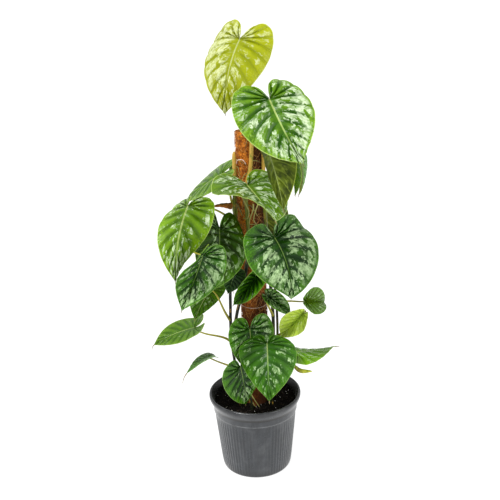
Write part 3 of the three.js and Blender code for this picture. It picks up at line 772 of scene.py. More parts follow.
def stem_material(name, old, young, husk=None):
    """Green stem tissue, with brown husks where given. The look vector holds youth and husks."""
    graph = Graph(name)
    youth, husks, _ = graph.parts(graph.attribute("look"))
    mottle = graph.noise(graph.scaled(graph.place(), 1, 1, 0.25), 420, detail=3)
    blend = graph.plus(youth, graph.times(graph.less(mottle, 0.5), 0.5))
    graph.mottle(blend, 0.1, 0.9, old, young)
    if husk:
        ragged = graph.noise(graph.scaled(graph.place(), 1, 1, 0.4), 90, detail=4, roughness=0.7)
        shed = graph.step(graph.scale_add(husks, 0.22, ragged), 0.55, 0.66)
        graph.cover(husk, shed, 0.85)
    graph.bump(mottle, 0.0006, 0.5)
    return graph.finish(0.45, 0.4)


def plain_pot_material():
    """Dark grey moulded plastic, streaked and dusty, with painted shade below and inside and a painted
    highlight at its step.
    """
    graph = Graph("pot_plastic")
    place_vector = graph.place()
    x, y, z = graph.parts(place_vector)
    streaks = graph.noise(graph.scaled(place_vector, 60, 60, 7), 1.0, detail=4, roughness=0.65)
    haze = graph.noise(place_vector, 38, detail=4, roughness=0.6)
    dust = graph.noise(place_vector, 300, detail=3)
    on_lip = graph.step(z, LIP_FOOT + 0.001, LIP_FOOT + 0.004)
    at_step = graph.step(graph.magnitude(graph.less(z, BAND_FOOT)), 0.0016, 0.0006)
    squares = graph.scale_add(x, x, graph.times(y, y))
    within = graph.step(squares, MOUTH_RADIUS ** 2, (MOUTH_RADIUS - 0.0015) ** 2)
    above_soil = graph.step(z, SOIL_LEVEL - 0.006, SOIL_LEVEL - 0.004)
    graph.mottle(streaks, 0.3, 0.75, (0.015, 0.0175, 0.021), (0.034, 0.039, 0.046))
    graph.cover((0.018, 0.019, 0.022), on_lip)
    graph.cover(HAZE_GREY, graph.step(haze, 0.45, 0.75), 0.35)
    graph.cover(DUST_GREY, graph.step(dust, 0.58, 0.75), 0.2)
    # Painted shade, darker towards the foot.
    graph.cover(FOOT_SHADE, graph.step(z, 0.025, 0.006), 0.7)
    # Painted highlight, a pale line along the step, broken up by the haze.
    graph.cover(STEP_HIGHLIGHT_GREY, at_step, graph.step(haze, 0.35, 0.6), 0.8)
    # Painted shade on the inner wall above the soil.
    graph.cover(INSIDE_SHADE, within, above_soil)
    graph.bump(dust, 0.0002, 0.4)
    graph.shader.inputs["Sheen Weight"].default_value = 0.18
    graph.shader.inputs["Sheen Roughness"].default_value = 0.35
    return graph.finish(graph.scale_add(haze, 0.22, 0.18), 0.6)


def soil_material():
    """Nearly black crumbs, with plainer lumps among them."""
    graph = Graph("soil")
    place_vector = graph.place()
    crumbs = graph.noise(place_vector, 330, detail=4, roughness=0.7)
    lumps = graph.noise(place_vector, 70, detail=2)
    graph.mottle(crumbs, 0.35, 0.7, (0.0012, 0.001, 0.0008), (0.008, 0.005, 0.0035))
    graph.cover((0.004, 0.0025, 0.002), graph.step(lumps, 0.5, 0.8))
    graph.bump(crumbs, 0.002, 1.0)
    return graph.finish(0.95, 0.08)


def speckled_material(name, dark, light, scale, roughness):
    graph = Graph(name)
    speckle = graph.noise(graph.place(), scale, detail=3)
    graph.mottle(speckle, 0.35, 0.65, dark, light)
    graph.bump(speckle, 0.0004, 0.6)
    return graph.finish(roughness, 0.3)


def coir_material():
    """Rusty felt with dark patches, with painted shadow on its front right except at mid-height, and painted
    shade low down.
    """
    graph = Graph("coir")
    place_vector = graph.place()
    felt = graph.noise(graph.scaled(place_vector, 1, 1, 0.8), 260, detail=4, roughness=0.75, distortion=0.8)
    patches = graph.noise(place_vector, 85, detail=3)
    across, depth, height = graph.parts(place_vector)
    # Painted shadow of the leaves on the sleeve's front right, except at mid-height.
    shaded_side = graph.step(across, POLE_X - 0.01, POLE_X + 0.012)
    shaded_heights = graph.math("MAXIMUM", graph.step(height, 0.5, 0.56), graph.step(height, 0.44, 0.4))
    painted_shadow = graph.times(shaded_side, shaded_heights, graph.step(depth, 0.012, -0.004))
    graph.mottle(felt, 0.34, 0.58, (0.15, 0.03, 0.002), (0.8, 0.25, 0.02))
    graph.cover((1.0, 0.6, 0.2), graph.step(felt, 0.58, 0.74))
    graph.cover((0.17, 0.035, 0.006), graph.step(patches, 0.5, 0.62), 0.7)
    graph.cover((0.015, 0.006, 0.003), painted_shadow, 0.9)
    # Painted shade, darker low down beneath the leaves.
    graph.cover((0.06, 0.016, 0.004), graph.step(height, 0.45, 0.34), 0.85)
    graph.bump(felt, 0.0025, 1.0)
    return graph.finish(0.85, 0.2)


# Each kind of blade: dark, green, pale, silver and midrib colours
UPPER_COLOURS = {
    "young": (
        (0.23, 0.27, 0.001), (0.33, 0.37, 0.001), (0.48, 0.51, 0.01), (0.6, 0.65, 0.33), (0.62, 0.66, 0.3),
    ),
    "light": (
        (0.02, 0.085, 0.001), (0.065, 0.17, 0.001), (0.21, 0.4, 0.005), (0.54, 0.66, 0.42), (0.5, 0.64, 0.18),
    ),
    "mature": (
        (0.004, 0.027, 0.001), (0.018, 0.09, 0.001), (0.09, 0.28, 0.003), (0.42, 0.6, 0.29),
        (0.24, 0.43, 0.08),
    ),
    "backlit": (
        (0.2, 0.34, 0.003), (0.5, 0.7, 0.02), (0.75, 0.95, 0.15), (0.9, 0.95, 0.6), (0.9, 0.95, 0.5),
    ),
}
# Each kind of blade from below: dark, green and pale
UNDER_COLOURS = {
    "young": ((0.26, 0.32, 0.005), (0.4, 0.45, 0.01), (0.55, 0.6, 0.12)),
    "light": ((0.04, 0.17, 0.001), (0.11, 0.34, 0.002), (0.26, 0.48, 0.03)),
    "mature": ((0.025, 0.04, 0.001), (0.08, 0.115, 0.002), (0.34, 0.43, 0.05)),
    "backlit": ((0.3, 0.5, 0.01), (0.6, 0.8, 0.05), (0.85, 0.98, 0.4)),
}
FRESH_GREEN = (0.07, 0.27, 0.003)
YELLOW_GREEN = (0.28, 0.38, 0.003)
# The pot's haze and dust, its painted shade at the foot and inside, and its painted highlight at the step
HAZE_GREY = (0.11, 0.115, 0.12)
DUST_GREY = (0.15, 0.15, 0.155)
FOOT_SHADE = (0.007, 0.0075, 0.009)
STEP_HIGHLIGHT_GREY = (0.22, 0.23, 0.24)
INSIDE_SHADE = (0.004, 0.0035, 0.003)


# Pot

def wall_outside(height):
    """The pot's outer radius between its ribs."""
    return BASE_RADIUS + (RIB_TOP_RADIUS - BASE_RADIUS) * height / BAND_FOOT


def wall_inside(height):
    """The pot's inner radius below its lip."""
    return BASE_RADIUS + (BAND_RADIUS - BASE_RADIUS) * height / LIP_FOOT - POT_WALL


def make_pot():
    """The pot, turned from one profile: its ribbed wall, step, cove, lip and hollow."""
    rounding = [
        (wall_outside(BASE_ROUNDING) - BASE_ROUNDING * (1 - math.sin(a)), BASE_ROUNDING * (1 - math.cos(a)))
        for a in np.radians((0, 22, 45, 68))
    ]
    ribbed = [(wall_outside(z), z) for z in np.linspace(BASE_ROUNDING, BAND_FOOT - 0.0045, 10)]
    step = [
        (wall_outside(BAND_FOOT) + 0.0004, BAND_FOOT - 0.001),
        (BAND_RADIUS - 0.0009, BAND_FOOT),
        (BAND_RADIUS - 0.0004, BAND_FOOT + 0.0012),
    ]
    cove = [
        (BAND_RADIUS, LIP_FOOT - 0.013),
        (BAND_RADIUS + 0.0012, LIP_FOOT - 0.0085),
        (BAND_RADIUS + 0.0034, LIP_FOOT - 0.004),
        (BAND_RADIUS + 0.006, LIP_FOOT + 0.0008),
    ]
    lip = [
        (RIM_RADIUS - 0.001, LIP_FOOT + 0.0045),
        (RIM_RADIUS - 0.0002, LIP_FOOT + 0.007),
        (RIM_RADIUS, POT_HEIGHT - 0.004),
        (RIM_RADIUS - 0.0006, POT_HEIGHT - 0.0012),
        (RIM_RADIUS - 0.002, POT_HEIGHT),
        (MOUTH_RADIUS + 0.001, POT_HEIGHT - 0.0002),
        (MOUTH_RADIUS - 0.0002, POT_HEIGHT - 0.0018),
    ]
    hollow = [
        (wall_inside(LIP_FOOT) + 0.0012, LIP_FOOT + 0.001),
        (wall_inside(LIP_FOOT - 0.002), LIP_FOOT - 0.002),
        (wall_inside(POT_FLOOR) + 0.0003, POT_FLOOR + 0.004),
        (wall_inside(POT_FLOOR) - 0.002, POT_FLOOR),
        (FLOOR_CENTRE, POT_FLOOR),
    ]
    first_rib = 1 + len(rounding)
    last_rib = first_rib + len(ribbed) - 1

    def ribs(row, angles):
        if not first_rib <= row <= last_rib:
            return 0
        fade = min(1, (row - first_rib + 0.35) / 1.2, (last_rib - row + 0.15) / 1.2)
        return RIB_DEPTH * fade * (0.5 + 0.5 * np.cos(RIBS * angles)) ** 1.5

    shape = Shape()
    shape.add(*lathe([(FLOOR_CENTRE, 0.0), *rounding, *ribbed, *step, *cove, *lip, *hollow], RIBS * 6, ribs))
    pot = shape.build("nursery_pot", [plain_pot_material()], sharp_from=60)
    drill_drains(pot)
    place(pot, "pot")


def drill_drains(pot):
    """Cuts the drain holes through the pot's floor."""
    cutters = Shape()
    for i in range(DRAIN_HOLES):
        angle = 2 * math.pi * (i + 0.5) / DRAIN_HOLES
        x = DRAIN_RING_RADIUS * math.cos(angle)
        y = DRAIN_RING_RADIUS * math.sin(angle)
        cutters.add(*tube([(x, y, -POT_FLOOR), (x, y, 2 * POT_FLOOR)], DRAIN_RADIUS, 24))
    cutter = cutters.build("drain_cutter", [])
    cut = pot.modifiers.new("drains", "BOOLEAN")
    cut.operation = "DIFFERENCE"
    cut.solver = "EXACT"
    cut.object = cutter
    evaluated = pot.evaluated_get(bpy.context.evaluated_depsgraph_get())
    drilled = bpy.data.meshes.new_from_object(evaluated)
    pot.modifiers.clear()
    pot.data = drilled
    bpy.data.objects.remove(cutter)


# Soil

def soil_top(x, y):
    """The height of the uneven soil."""
    broad = np.sin(110 * x + 1.3) * np.cos(130 * y - 0.4)
    fine = np.sin(230 * x - 190 * y)
    crumb = np.sin(910 * x + 3 * np.sin(620 * y)) * np.sin(870 * y + 2 * np.sin(540 * x))
    return SOIL_LEVEL + SOIL_RELIEF * (0.5 * broad + 0.3 * fine + 0.2 * crumb)


def make_soil():
    """The soil, with perlite and bark on it."""
    sides = 150
    rings = 44
    angles = circle(sides)
    wall_radius = wall_inside(SOIL_LEVEL) - TOUCHING
    points = [
        around(wall_inside(POT_FLOOR) - TOUCHING, angles, POT_FLOOR + TOUCHING),
        around(wall_radius, angles, SOIL_LEVEL),
    ]
    for i in range(1, rings):
        ring = around(wall_radius * (1 - i / rings), angles, 0.0)
        ring[:, 2] = soil_top(ring[:, 0], ring[:, 1])
        points.append(ring)
    points.append(np.array([(0, 0, float(soil_top(0.0, 0.0)))]))
    last_ring = rings * sides
    centre = last_ring + sides
    bottom = tuple(range(sides - 1, -1, -1))
    top = [(last_ring + k, last_ring + (k + 1) % sides, centre) for k in range(sides)]
    shape = Shape()
    shape.add(np.concatenate(points), [bottom, *ring_faces(rings + 1, sides), *top])
    scatter_grains(shape, PERLITE_GRAINS, 1, PERLITE_SIZES, wall_radius)
    scatter_grains(shape, BARK_CHIPS, 2, BARK_SIZES, wall_radius)
    perlite = speckled_material("perlite", (0.55, 0.53, 0.48), (0.85, 0.84, 0.8), 900, 0.8)
    bark = speckled_material("bark_chips", (0.004, 0.002, 0.001), (0.02, 0.01, 0.005), 500, 0.85)
    soil = shape.build("potting_soil", [soil_material(), perlite, bark], sharp_from=180)
    place(soil, "soil")


def scatter_grains(shape, count, slot, sizes, wall_radius):
    """Lumpy six-cornered grains on the soil, clear of the pot's wall."""
    corners = np.array([(1, 0, 0), (-1, 0, 0), (0, 1, 0), (0, -1, 0), (0, 0, 1), (0, 0, -1)], float)
    faces = [(0, 2, 4), (2, 1, 4), (1, 3, 4), (3, 0, 4), (2, 0, 5), (1, 2, 5), (3, 1, 5), (0, 3, 5)]
    for _ in range(count):
        size = randoms.uniform(*sizes)
        radius = (wall_radius - sizes[1]) * math.sqrt(randoms.uniform(0, 1))
        angle = randoms.uniform(0, 2 * math.pi)
        x = radius * math.cos(angle)
        y = radius * math.sin(angle)
        lumpy = corners * randoms.uniform(0.6, 1.1, (6, 1))
        lumpy = lumpy * (1, randoms.uniform(0.6, 1), randoms.uniform(0.45, 0.8))
        turned = lumpy @ np.array(Matrix.Rotation(randoms.uniform(0, 2 * math.pi), 3, "Z"))
        shape.add(turned * size + (x, y, float(soil_top(x, y)) + 0.25 * size), faces, slot)


# Pole

def make_pole():
    """The coir sleeve, with its fibres, its tie and the pale root."""
    rows = 240
    heights = np.linspace(POLE_FOOT, POLE_TOP - 0.0015, rows)
    profile = [(POLE_RADIUS, z) for z in heights]
    profile += [(POLE_RADIUS - 0.002, POLE_TOP), (POLE_BORE + 0.003, POLE_TOP - 0.001)]
    profile += [(POLE_BORE, POLE_TOP - 0.004), (POLE_BORE, POLE_FOOT)]

    def felt(row, angles):
        if row >= rows + 2:
            return 0
        z = heights[min(row, rows - 1)]
        waves = np.sin(5 * angles + 90 * z + 2 * np.sin(140 * z)) * np.sin(230 * z + 3 * np.sin(3 * angles))
        fine = np.sin(17 * angles - 310 * z) * np.sin(23 * angles + 420 * z)
        lumps = np.sin(48 * z + 1.2) * np.sin(angles + 31 * z)
        return -0.0018 + 0.001 * lumps + 0.001 * waves + 0.0005 * fine

    shape = Shape()
    points, faces = lathe(profile, 96, felt)
    shape.add(points + (POLE_X, 0, 0), faces)
    lay_fibres(shape)
    shape.add(*tube(pole_tie(), TIE_RADIUS, 6), 3)
    shape.add(*tube(catmull_rom(PALE_ROOT, 24), PALE_ROOT_RADIUS, 6), 3)
    dark = speckled_material("coir_fibre_dark", (0.16, 0.035, 0.004), (0.4, 0.11, 0.015), 600, 0.8)
    light = speckled_material("coir_fibre_light", (0.6, 0.24, 0.05), (0.9, 0.52, 0.2), 600, 0.75)
    pale = speckled_material("pale_root_and_tie", (0.6, 0.4, 0.3), (0.85, 0.66, 0.55), 300, 0.5)
    sleeve = shape.build("coir_pole", [coir_material(), dark, light, pale], sharp_from=180)
    place(sleeve, "coir_sleeve")


def make_stake():
    """The wooden stake inside the sleeve, chamfered at its top."""
    heights = (POT_FLOOR + TOUCHING, 0.3, 0.5, STAKE_TOP - STAKE_CHAMFER, STAKE_TOP)
    radii = [STAKE_RADIUS] * 4 + [STAKE_RADIUS - STAKE_CHAMFER]
    wood = speckled_material("stake_wood", (0.05, 0.028, 0.014), (0.16, 0.1, 0.05), 220, 0.8)
    stake = tube([(POLE_X, 0, z) for z in heights], radii, 40)
    make_simple("pole_core", stake, wood, "pole_stake")


def pole_tie():
    """A thin tie wound once round the sleeve, a little aslant."""
    angles = np.linspace(0, 2 * np.pi, 60)
    return around(POLE_RADIUS + TIE_RADIUS / 2, angles, TIE_HEIGHT + TIE_SLANT * np.sin(angles), POLE_X)


def lay_fibres(shape):
    """Stray fibres felted on the sleeve, each an arc on the pole's surface."""
    for i in range(COIR_FIBRES):
        height = randoms.uniform(LOWEST_FIBRE, POLE_TOP - 0.006)
        angle = randoms.uniform(0, 2 * math.pi)
        heading = randoms.uniform(0, math.pi)
        length = randoms.uniform(*FIBRE_LENGTHS)
        curl = randoms.uniform(-FIBRE_CURL, FIBRE_CURL)
        lift = randoms.uniform(-0.0002, 0.0009)
        steps = np.linspace(-0.5, 0.5, 6)
        headings = heading + curl * steps
        sideways = np.cumsum(np.cos(headings)) * length / 5
        up = np.cumsum(np.sin(headings)) * length / 5
        arch = lift * (1 - (2 * steps) ** 2) - 0.0003
        heights = np.clip(height + up, POLE_FOOT, POLE_TOP - 0.001)
        path = around(POLE_RADIUS - 0.0004 + arch, angle + sideways / POLE_RADIUS, heights, POLE_X)
        shape.add(*tube(path, FIBRE_RADIUS, 3), 1 + i % 2)


# Stems, petioles and roots

def stem_path(stem):
    """A stem's line, upright out of the soil and then along its route."""
    x, y = stem["foot"]
    middle = (STEM_FOOT_HEIGHT + STEM_UPRIGHT_TO) / 2
    points = [(x, y, z) for z in (STEM_FOOT_HEIGHT, middle, STEM_UPRIGHT_TO)]
    points += stem["free"]
    for degrees, z in stem["held"]:
        angle = math.radians(degrees)
        points.append((POLE_X + POLE_TO_STEM * math.cos(angle), POLE_TO_STEM * math.sin(angle), z))
    points += stem.get("above", [])
    return catmull_rom(points, 240)


def point_at_height(path, z):
    """Where a rising line passes the given height."""
    return np.array([np.interp(z, path[:, 2], path[:, k]) for k in range(3)])


def leaf_turn(leaf):
    """The turn of a blade that lies flat with its tip along +X."""
    def about(axis, degrees):
        return Matrix.Rotation(math.radians(degrees), 3, axis)
    turn = about("Z", leaf["face"] - 90) @ about("Y", leaf["hang"])
    return np.array(turn @ about("Z", leaf["swing"]) @ about("X", -leaf["roll"]))


def stalk_path(path, stalk, end, arrival):
    """A stalk rises out of its stem and bends over until it arrives at its end in the given direction."""
    start = point_at_height(path, stalk["node"])
    span = np.linalg.norm(end - start)
    away = unit((end - start) * (1, 1, 0))
    leave = away * stalk["outward"] + np.array((0, 0, math.sqrt(1 - stalk["outward"] ** 2)))
    reach = stalk["reach"] * span
    return bezier(start, start + leave * reach, end - arrival * reach, end, 36)


def petiole_path(leaf, path):
    """From the stem to just under the blade."""
    turn = leaf_turn(leaf)
    tipward = turn @ (1, 0, 0)
    normal = turn @ (0, 0, 1)
    lean = math.radians(leaf["lean"])
    arrival = normal * math.cos(lean) + tipward * math.sin(lean)
    seat = BLADE_THICKNESS / 2 + PETIOLE_END_RADIUS * math.sin(lean)
    return stalk_path(path, leaf, np.array(leaf["at"]) - normal * seat, arrival)


def root_path(path, height, side, sweep=ROOT_SWEEP, drop=ROOT_DROP, radius=ROOT_FOOT_RADIUS):
    """A root starts inside its stem and follows the pole's surface, to one side and down."""
    start = point_at_height(path, height)
    first = math.atan2(start[1], start[0] - POLE_X)
    points = [start]
    for part in (0.35, 0.65, 1):
        angle = first + side * part * math.radians(sweep)
        r = POLE_RADIUS + radius
        points.append((POLE_X + r * math.cos(angle), r * math.sin(angle), height - drop * part ** 2))
    return catmull_rom(points, ROOT_POINTS)


def stem_radii(stem, path, nodes):
    """Thicker towards the top and at each node, and rounded off at the tip."""
    radii = taper(stem["low_radius"], stem["top_radius"], np.linspace(0, 1, len(path)))
    swell = sum(np.exp(-((path[:, 2] - z) / NODE_LENGTH) ** 2) for z in nodes)
    radii = radii * (1 + NODE_SWELL * np.minimum(swell, 1))
    below_tip = (path[-1, 2] - path[:, 2]) / STEM_TIP
    return radii * np.sqrt(np.clip(below_tip * (2 - below_tip), 0.03, 1) ** (below_tip < 1))


def make_stem(name, materials):
    """A stem with the petioles of its leaves and its roots, as one piece."""
    stem = STEMS[name]
    path = stem_path(stem)
    shape = Shape(["look"])
    leaves = [leaf for leaf in LEAVES.values() if leaf["stem"] == name]
    radii = stem_radii(stem, path, [leaf["node"] for leaf in leaves])
    add_tube(shape, path, radii, 14, 0, stem_youth(path[:, 2]))
    for leaf in leaves:
        add_petiole(shape, petiole_path(leaf, path), leaf["node"])
    if name == SPINDLE["stem"]:
        foot, following = np.array(SPINDLE["path"][:2])
        add_petiole(shape, stalk_path(path, SPINDLE, foot, unit(following - foot)), SPINDLE["node"])
    if stem["held"]:
        add_roots(shape, path, stem["held"][-1][1])
    for loose in LOOSE_ROOTS if name == "front" else ():
        along = np.linspace(0, 1, 24)
        radii = LOOSE_ROOT_RADIUS * (1 - 0.5 * along)
        add_tube(shape, catmull_rom(loose, 24), radii, 6, 1, 0.95 - 0.2 * along)
    place(shape.build(f"climbing_stem_{name}", materials, sharp_from=180), f"stem_{name}")


def stem_youth(heights):
    """0 in the old wood near the soil, 1 in the green top, and up to 0.5 round the low shoots."""
    greening = np.clip((heights - GREEN_FROM) / GREEN_RISE, 0, 1)
    return np.maximum(greening, 0.5 * np.exp(-((heights - LOW_SHOOTS) / 0.04) ** 2))


def stem_husks(heights):
    """1 where the top joints keep their brown husks, 0 elsewhere."""
    return np.clip((heights - HUSKS_FROM) / 0.09, 0, 1) * np.clip((HUSKS_TO - heights) / 0.01, 0, 1)


def add_tube(shape, path, radii, sides, slot, youth):
    """A length of stem, petiole or root, with its youth along it."""
    points, faces = tube(path, radii, sides)
    youth = np.repeat(np.broadcast_to(youth, len(path)), sides)
    husks = stem_husks(points[:, 2])
    shape.add(points, faces, slot, look=np.stack([youth, husks, np.zeros_like(husks)], axis=1))


def add_petiole(shape, path, node):
    """A petiole, flared where it leaves its stem."""
    along = np.linspace(0, 1, len(path))
    flare = 1 + PETIOLE_FLARE * np.exp(-along / 0.13)
    radii = taper(PETIOLE_FOOT_RADIUS, PETIOLE_END_RADIUS, along) * flare
    base = float(stem_youth(np.array([node]))[0])
    add_tube(shape, path, radii, 10, 2, 0.5 + 0.35 * base + 0.3 * np.sin(np.pi * along))


def add_roots(shape, path, top):
    """Clinging roots, to either side in turn, each with two finer ones on its other side."""
    side = 1
    z = LOWEST_ROOT
    along = np.linspace(0, 1, ROOT_POINTS)
    radii = taper(ROOT_FOOT_RADIUS, ROOT_END_RADIUS, along)
    while z < top - 0.01:
        add_tube(shape, root_path(path, z, side), radii, 6, 1, 0.2 + 0.7 * along)
        for rise, sweep, drop in FINER_ROOTS:
            finer = root_path(path, min(z + rise, top), -side, sweep, drop, FINER_ROOT_RADIUS)
            add_tube(shape, finer, 0.6 * radii, 5, 1, 0.9 - 0.6 * along)
        side = -side
        z += ROOT_SPACING


# Blades

def margin_point(across):
    """Points of the margin: a uniform Catmull-Rom curve through MARGIN."""
    padded = with_ends(MARGIN)
    place_along = across * (len(MARGIN) - 1)
    i = np.minimum(place_along.astype(int), len(MARGIN) - 2)
    p0, p1, p2, p3 = (padded[i + k] for k in range(4))
    return cubic(p1, p2, (p2 - p0) / 2, (p3 - p1) / 2, (place_along - i)[:, None])


def on_half(across, out):
    """Flat points of the right half. across: 0 at the sinus, 1 at the tip. out: 0 at the midrib, 1 outside.

    Lines of equal across are veins, which leave the midrib wide and arch to the tip.
    """
    edge = margin_point(across)
    rise = np.maximum(0, (across - LAST_BASAL_VEIN) / (1 - LAST_BASAL_VEIN)) ** VEIN_CROWDING
    bulge_y = rise + (edge[:, 1] - rise) * VEIN_RISE
    to_bulge = 2 * out * (1 - out)
    to_edge = out ** 2
    x = (to_bulge * VEIN_SWING + to_edge) * edge[:, 0]
    y = (1 - out) ** 2 * rise + to_bulge * bulge_y + to_edge * edge[:, 1]
    return x, y


def arc(curvature, distance):
    """A flat length bent into an arc: how far it still reaches, and how far it leaves the straight line."""
    k = np.where(np.abs(curvature) < 1e-4, 1e-4, curvature)
    return np.sin(k * distance) / k, (1 - np.cos(k * distance)) / k


def on_blade(leaf, x, y, lift):
    """Points of the bent blade and its normals there. x is across the blade and y along its midrib."""
    length = leaf["length"]
    forward = y >= 0
    bend = math.radians(leaf["bend"]) / length
    lobe = -math.radians(leaf["lobe"]) / (LOBE_REACH * length)
    curvature = np.where(forward, bend, lobe)
    reach, drop = arc(curvature, np.abs(y))
    turn = curvature * y
    zero = np.zeros_like(x)
    along = np.stack([np.where(forward, reach, -reach), zero, -drop], axis=1)
    twist = np.where(forward, math.radians(leaf["twist"]) * y / length, 0)[:, None]
    normal = np.stack([np.sin(turn), zero, np.cos(turn)], axis=1)
    side = np.array((0.0, 1.0, 0.0))
    up = normal * np.cos(twist) + side * np.sin(twist)
    across = side * np.cos(twist) - normal * np.sin(twist)
    fold = math.radians(leaf["fold"])
    cup = math.radians(leaf["cup"]) / (leaf["wide"] * length / 2)
    spread, rise = arc(np.full_like(x, cup), np.abs(x))
    outward = (np.sign(x) * (spread * math.cos(fold) - rise * math.sin(fold)))[:, None]
    height = (spread * math.sin(fold) + rise * math.cos(fold))[:, None]
    slope = (fold + cup * np.abs(x))[:, None]
    face = up * np.cos(slope) - across * np.sin(slope) * np.sign(x)[:, None]
    points = along + across * outward + up * height + face * lift[:, None]
    turned = leaf_turn(leaf).T
    return points @ turned + np.array(leaf["at"]), face @ turned


def blade_lift(leaf, across, out, phase):
    """How far the blade swells between its veins, and how its margin waves."""
    swell = np.abs(np.sin(np.pi * PANELS * across ** VEIN_PACKING)) ** 0.7
    inward = np.clip(out / 0.2, 0, 1) * (1 - 0.55 * out ** 2)
    wave = np.sin(2 * np.pi * (2.5 * across + phase)) * out ** 3 * np.sin(np.pi * np.clip(across, 0, 1))
    return leaf["length"] * (leaf["quilt"] * QUILTING * swell * inward + WAVING * wave)


def make_blade(name, leaf, number, materials):
    """A blade of two sides and a rim, with its midrib and its drip tip."""
    length = leaf["length"]
    across = np.linspace(0, 1, PANELS * COLUMNS_PER_PANEL + 1) ** (1 / VEIN_PACKING)
    out = np.concatenate([[0, 0.012, 0.03], np.linspace(0.06, 1, BLADE_RINGS - 2)])
    half_across, half_out = (grid.ravel() for grid in np.meshgrid(across, out, indexing="ij"))
    flat_x, flat_y = on_half(half_across, half_out)
    x = np.concatenate([flat_x, -flat_x])
    y = np.tile(flat_y, 2)
    lift = np.concatenate([
        blade_lift(leaf, half_across, half_out, 0.37 * number + 0.5 * half) for half in (1, -1)
    ])
    keys = np.round(np.stack([x, y], axis=1), 6) + 0.0
    _, firsts, ids = np.unique(keys, axis=0, return_index=True, return_inverse=True)
    ids = ids.ravel()
    middle, normals = on_blade(leaf, x[firsts] * leaf["wide"] * length, y[firsts] * length, lift[firsts])
    sheet = normals * (BLADE_THICKNESS / 2)
    below = len(middle)

    upper = blade_faces(len(across), len(out), ids)
    under = [face[::-1] for face in upper]
    rim = [[b, a, a, b] for a, b in rim_edges(upper, ids)]
    faces = [ids[face].tolist() for face in upper]
    faces += [(ids[face] + below).tolist() for face in under]
    faces += [(ids[face] + (0, 0, below, below)).tolist() for face in rim]
    slots = [0] * len(upper) + [1] * len(under) + [0] * len(rim)

    corners = np.concatenate(upper + under + rim)
    every = np.ones((len(corners), 1))
    points = np.concatenate([middle + sheet, middle - sheet])
    vein = np.stack([np.tile(half_across, 2) ** VEIN_PACKING, np.tile(half_out, 2), np.zeros_like(x)], axis=1)
    plan = np.stack([x * leaf["wide"], y, np.full_like(x, 3.7 * number)], axis=1)
    shape = Shape(["vein", "plan", "look", "spread"])
    look = every * (leaf["silver"], leaf["shade"], leaf["warm"])
    spread = every * (leaf["side"], leaf["tip"], 0)
    shape.add_corners(points, faces, slots, vein=vein[corners], plan=plan[corners], look=look, spread=spread)
    add_midrib(shape, leaf)
    add_drip_tip(shape, leaf)
    place(shape.build(f"blade_{name}", materials), f"leaf_{name}")


def blade_faces(columns, rings, ids):
    """Upper faces of both halves, each as grid points in turn. Grid points with one id are one corner."""
    faces = []
    for start, right in ((0, True), (columns * rings, False)):
        for i in range(columns - 1):
            for j in range(rings - 1):
                first = start + i * rings + j
                corners = [first, first + 1, first + rings + 1, first + rings]
                face = [c for k, c in enumerate(corners) if ids[c] != ids[corners[k - 1]]]
                if len(face) > 2:
                    faces.append(face[::-1] if right else face)
    return faces


def rim_edges(faces, ids):
    """Edges with a face on one side only, each as two grid points."""
    edges = {}
    for face in faces:
        for a, b in zip(face, face[1:] + face[:1]):
            edges[(ids[a], ids[b])] = (a, b)
    return [edge for (start, end), edge in edges.items() if (end, start) not in edges]


def add_midrib(shape, leaf):
    """The midrib stands out of the lower face and thins towards the tip."""
    along = np.linspace(0, 0.94, 30)
    zero = np.zeros_like(along)
    centre, normals = on_blade(leaf, zero, along * leaf["length"], zero)
    radii = PETIOLE_END_RADIUS * (1 - 0.85 * along) * min(1, leaf["length"] / 0.1)
    shape.add(*tube(centre - normals * (BLADE_THICKNESS / 2 + 0.1 * radii[:, None]), radii, 8), 2)


def add_drip_tip(shape, leaf):
    """The blade's tip runs out into a thin tail that hangs."""
    length = leaf["length"]
    zero = np.zeros(2)
    last, _ = on_blade(leaf, zero, np.array([0.97, 1.0]) * length, zero)
    onward = unit(last[1] - last[0])
    hanging = unit(onward * (1 - leaf["droop"]) + np.array((0, 0, -leaf["droop"])))
    reach = leaf["tail"] * length
    first = last[1] + onward * reach * 0.3
    second = last[1] + (onward + hanging) * reach * 0.35
    end = last[1] + (onward * 0.35 + hanging * 0.65) * reach
    path = bezier(last[0], first, second, end, 14)
    shape.add(*tube(path, np.linspace(TAIL_FOOT_RADIUS, TAIL_END_RADIUS, 14), 6), 3)


def make_leaves():
    upper = {kind: blade_upper(kind) for kind in UPPER_COLOURS}
    under = {kind: blade_under(kind) for kind in UNDER_COLOURS}
    rib = speckled_material("leaf_midrib", (0.16, 0.22, 0.05), (0.3, 0.36, 0.1), 300, 0.5)
    dry = speckled_material("drip_tip", (0.12, 0.08, 0.02), (0.3, 0.24, 0.1), 400, 0.6)
    for number, (name, leaf) in enumerate(LEAVES.items()):
        colours = "backlit" if leaf["backlit"] else leaf["kind"]
        faces = [upper[colours], under[colours]]
        if leaf["turned"]:
            faces.reverse()
        make_blade(name, leaf, number, [*faces, rib, dry])


# Small pieces

def make_spindle():
    """A young leaf that is still rolled up."""
    along = np.linspace(0, 1, 40)
    radii = SPINDLE["foot_radius"] * np.sin(np.pi * (0.16 + 0.84 * along)) ** 0.8
    rolled = tube(catmull_rom(SPINDLE["path"], 40), radii + SPINDLE["end_radius"] * along, 16)
    make_simple("rolled_young_leaf", rolled, spindle_material(), "leaf_unfurling")


def make_sheath():
    """A withered sheath with lengthwise pleats."""
    sides = 28
    path = catmull_rom(DRY_SHEATH["path"], 40)
    centres = path[:, None]
    along = np.linspace(0, 1, 40)
    radii = taper(DRY_SHEATH["foot_radius"], DRY_SHEATH["end_radius"], along)
    points, faces = tube(path, radii * (1 + 0.05 * np.sin(30 * along)), sides)
    pleats = 1 - 0.13 * (np.arange(sides) % 4 == 0)[:, None]
    pleated = centres + (points.reshape(40, sides, 3) - centres) * pleats
    solid = (pleated.reshape(-1, 3), faces)
    make_simple("dry_leaf_sheath", solid, sheath_material(), "dry_sheath")


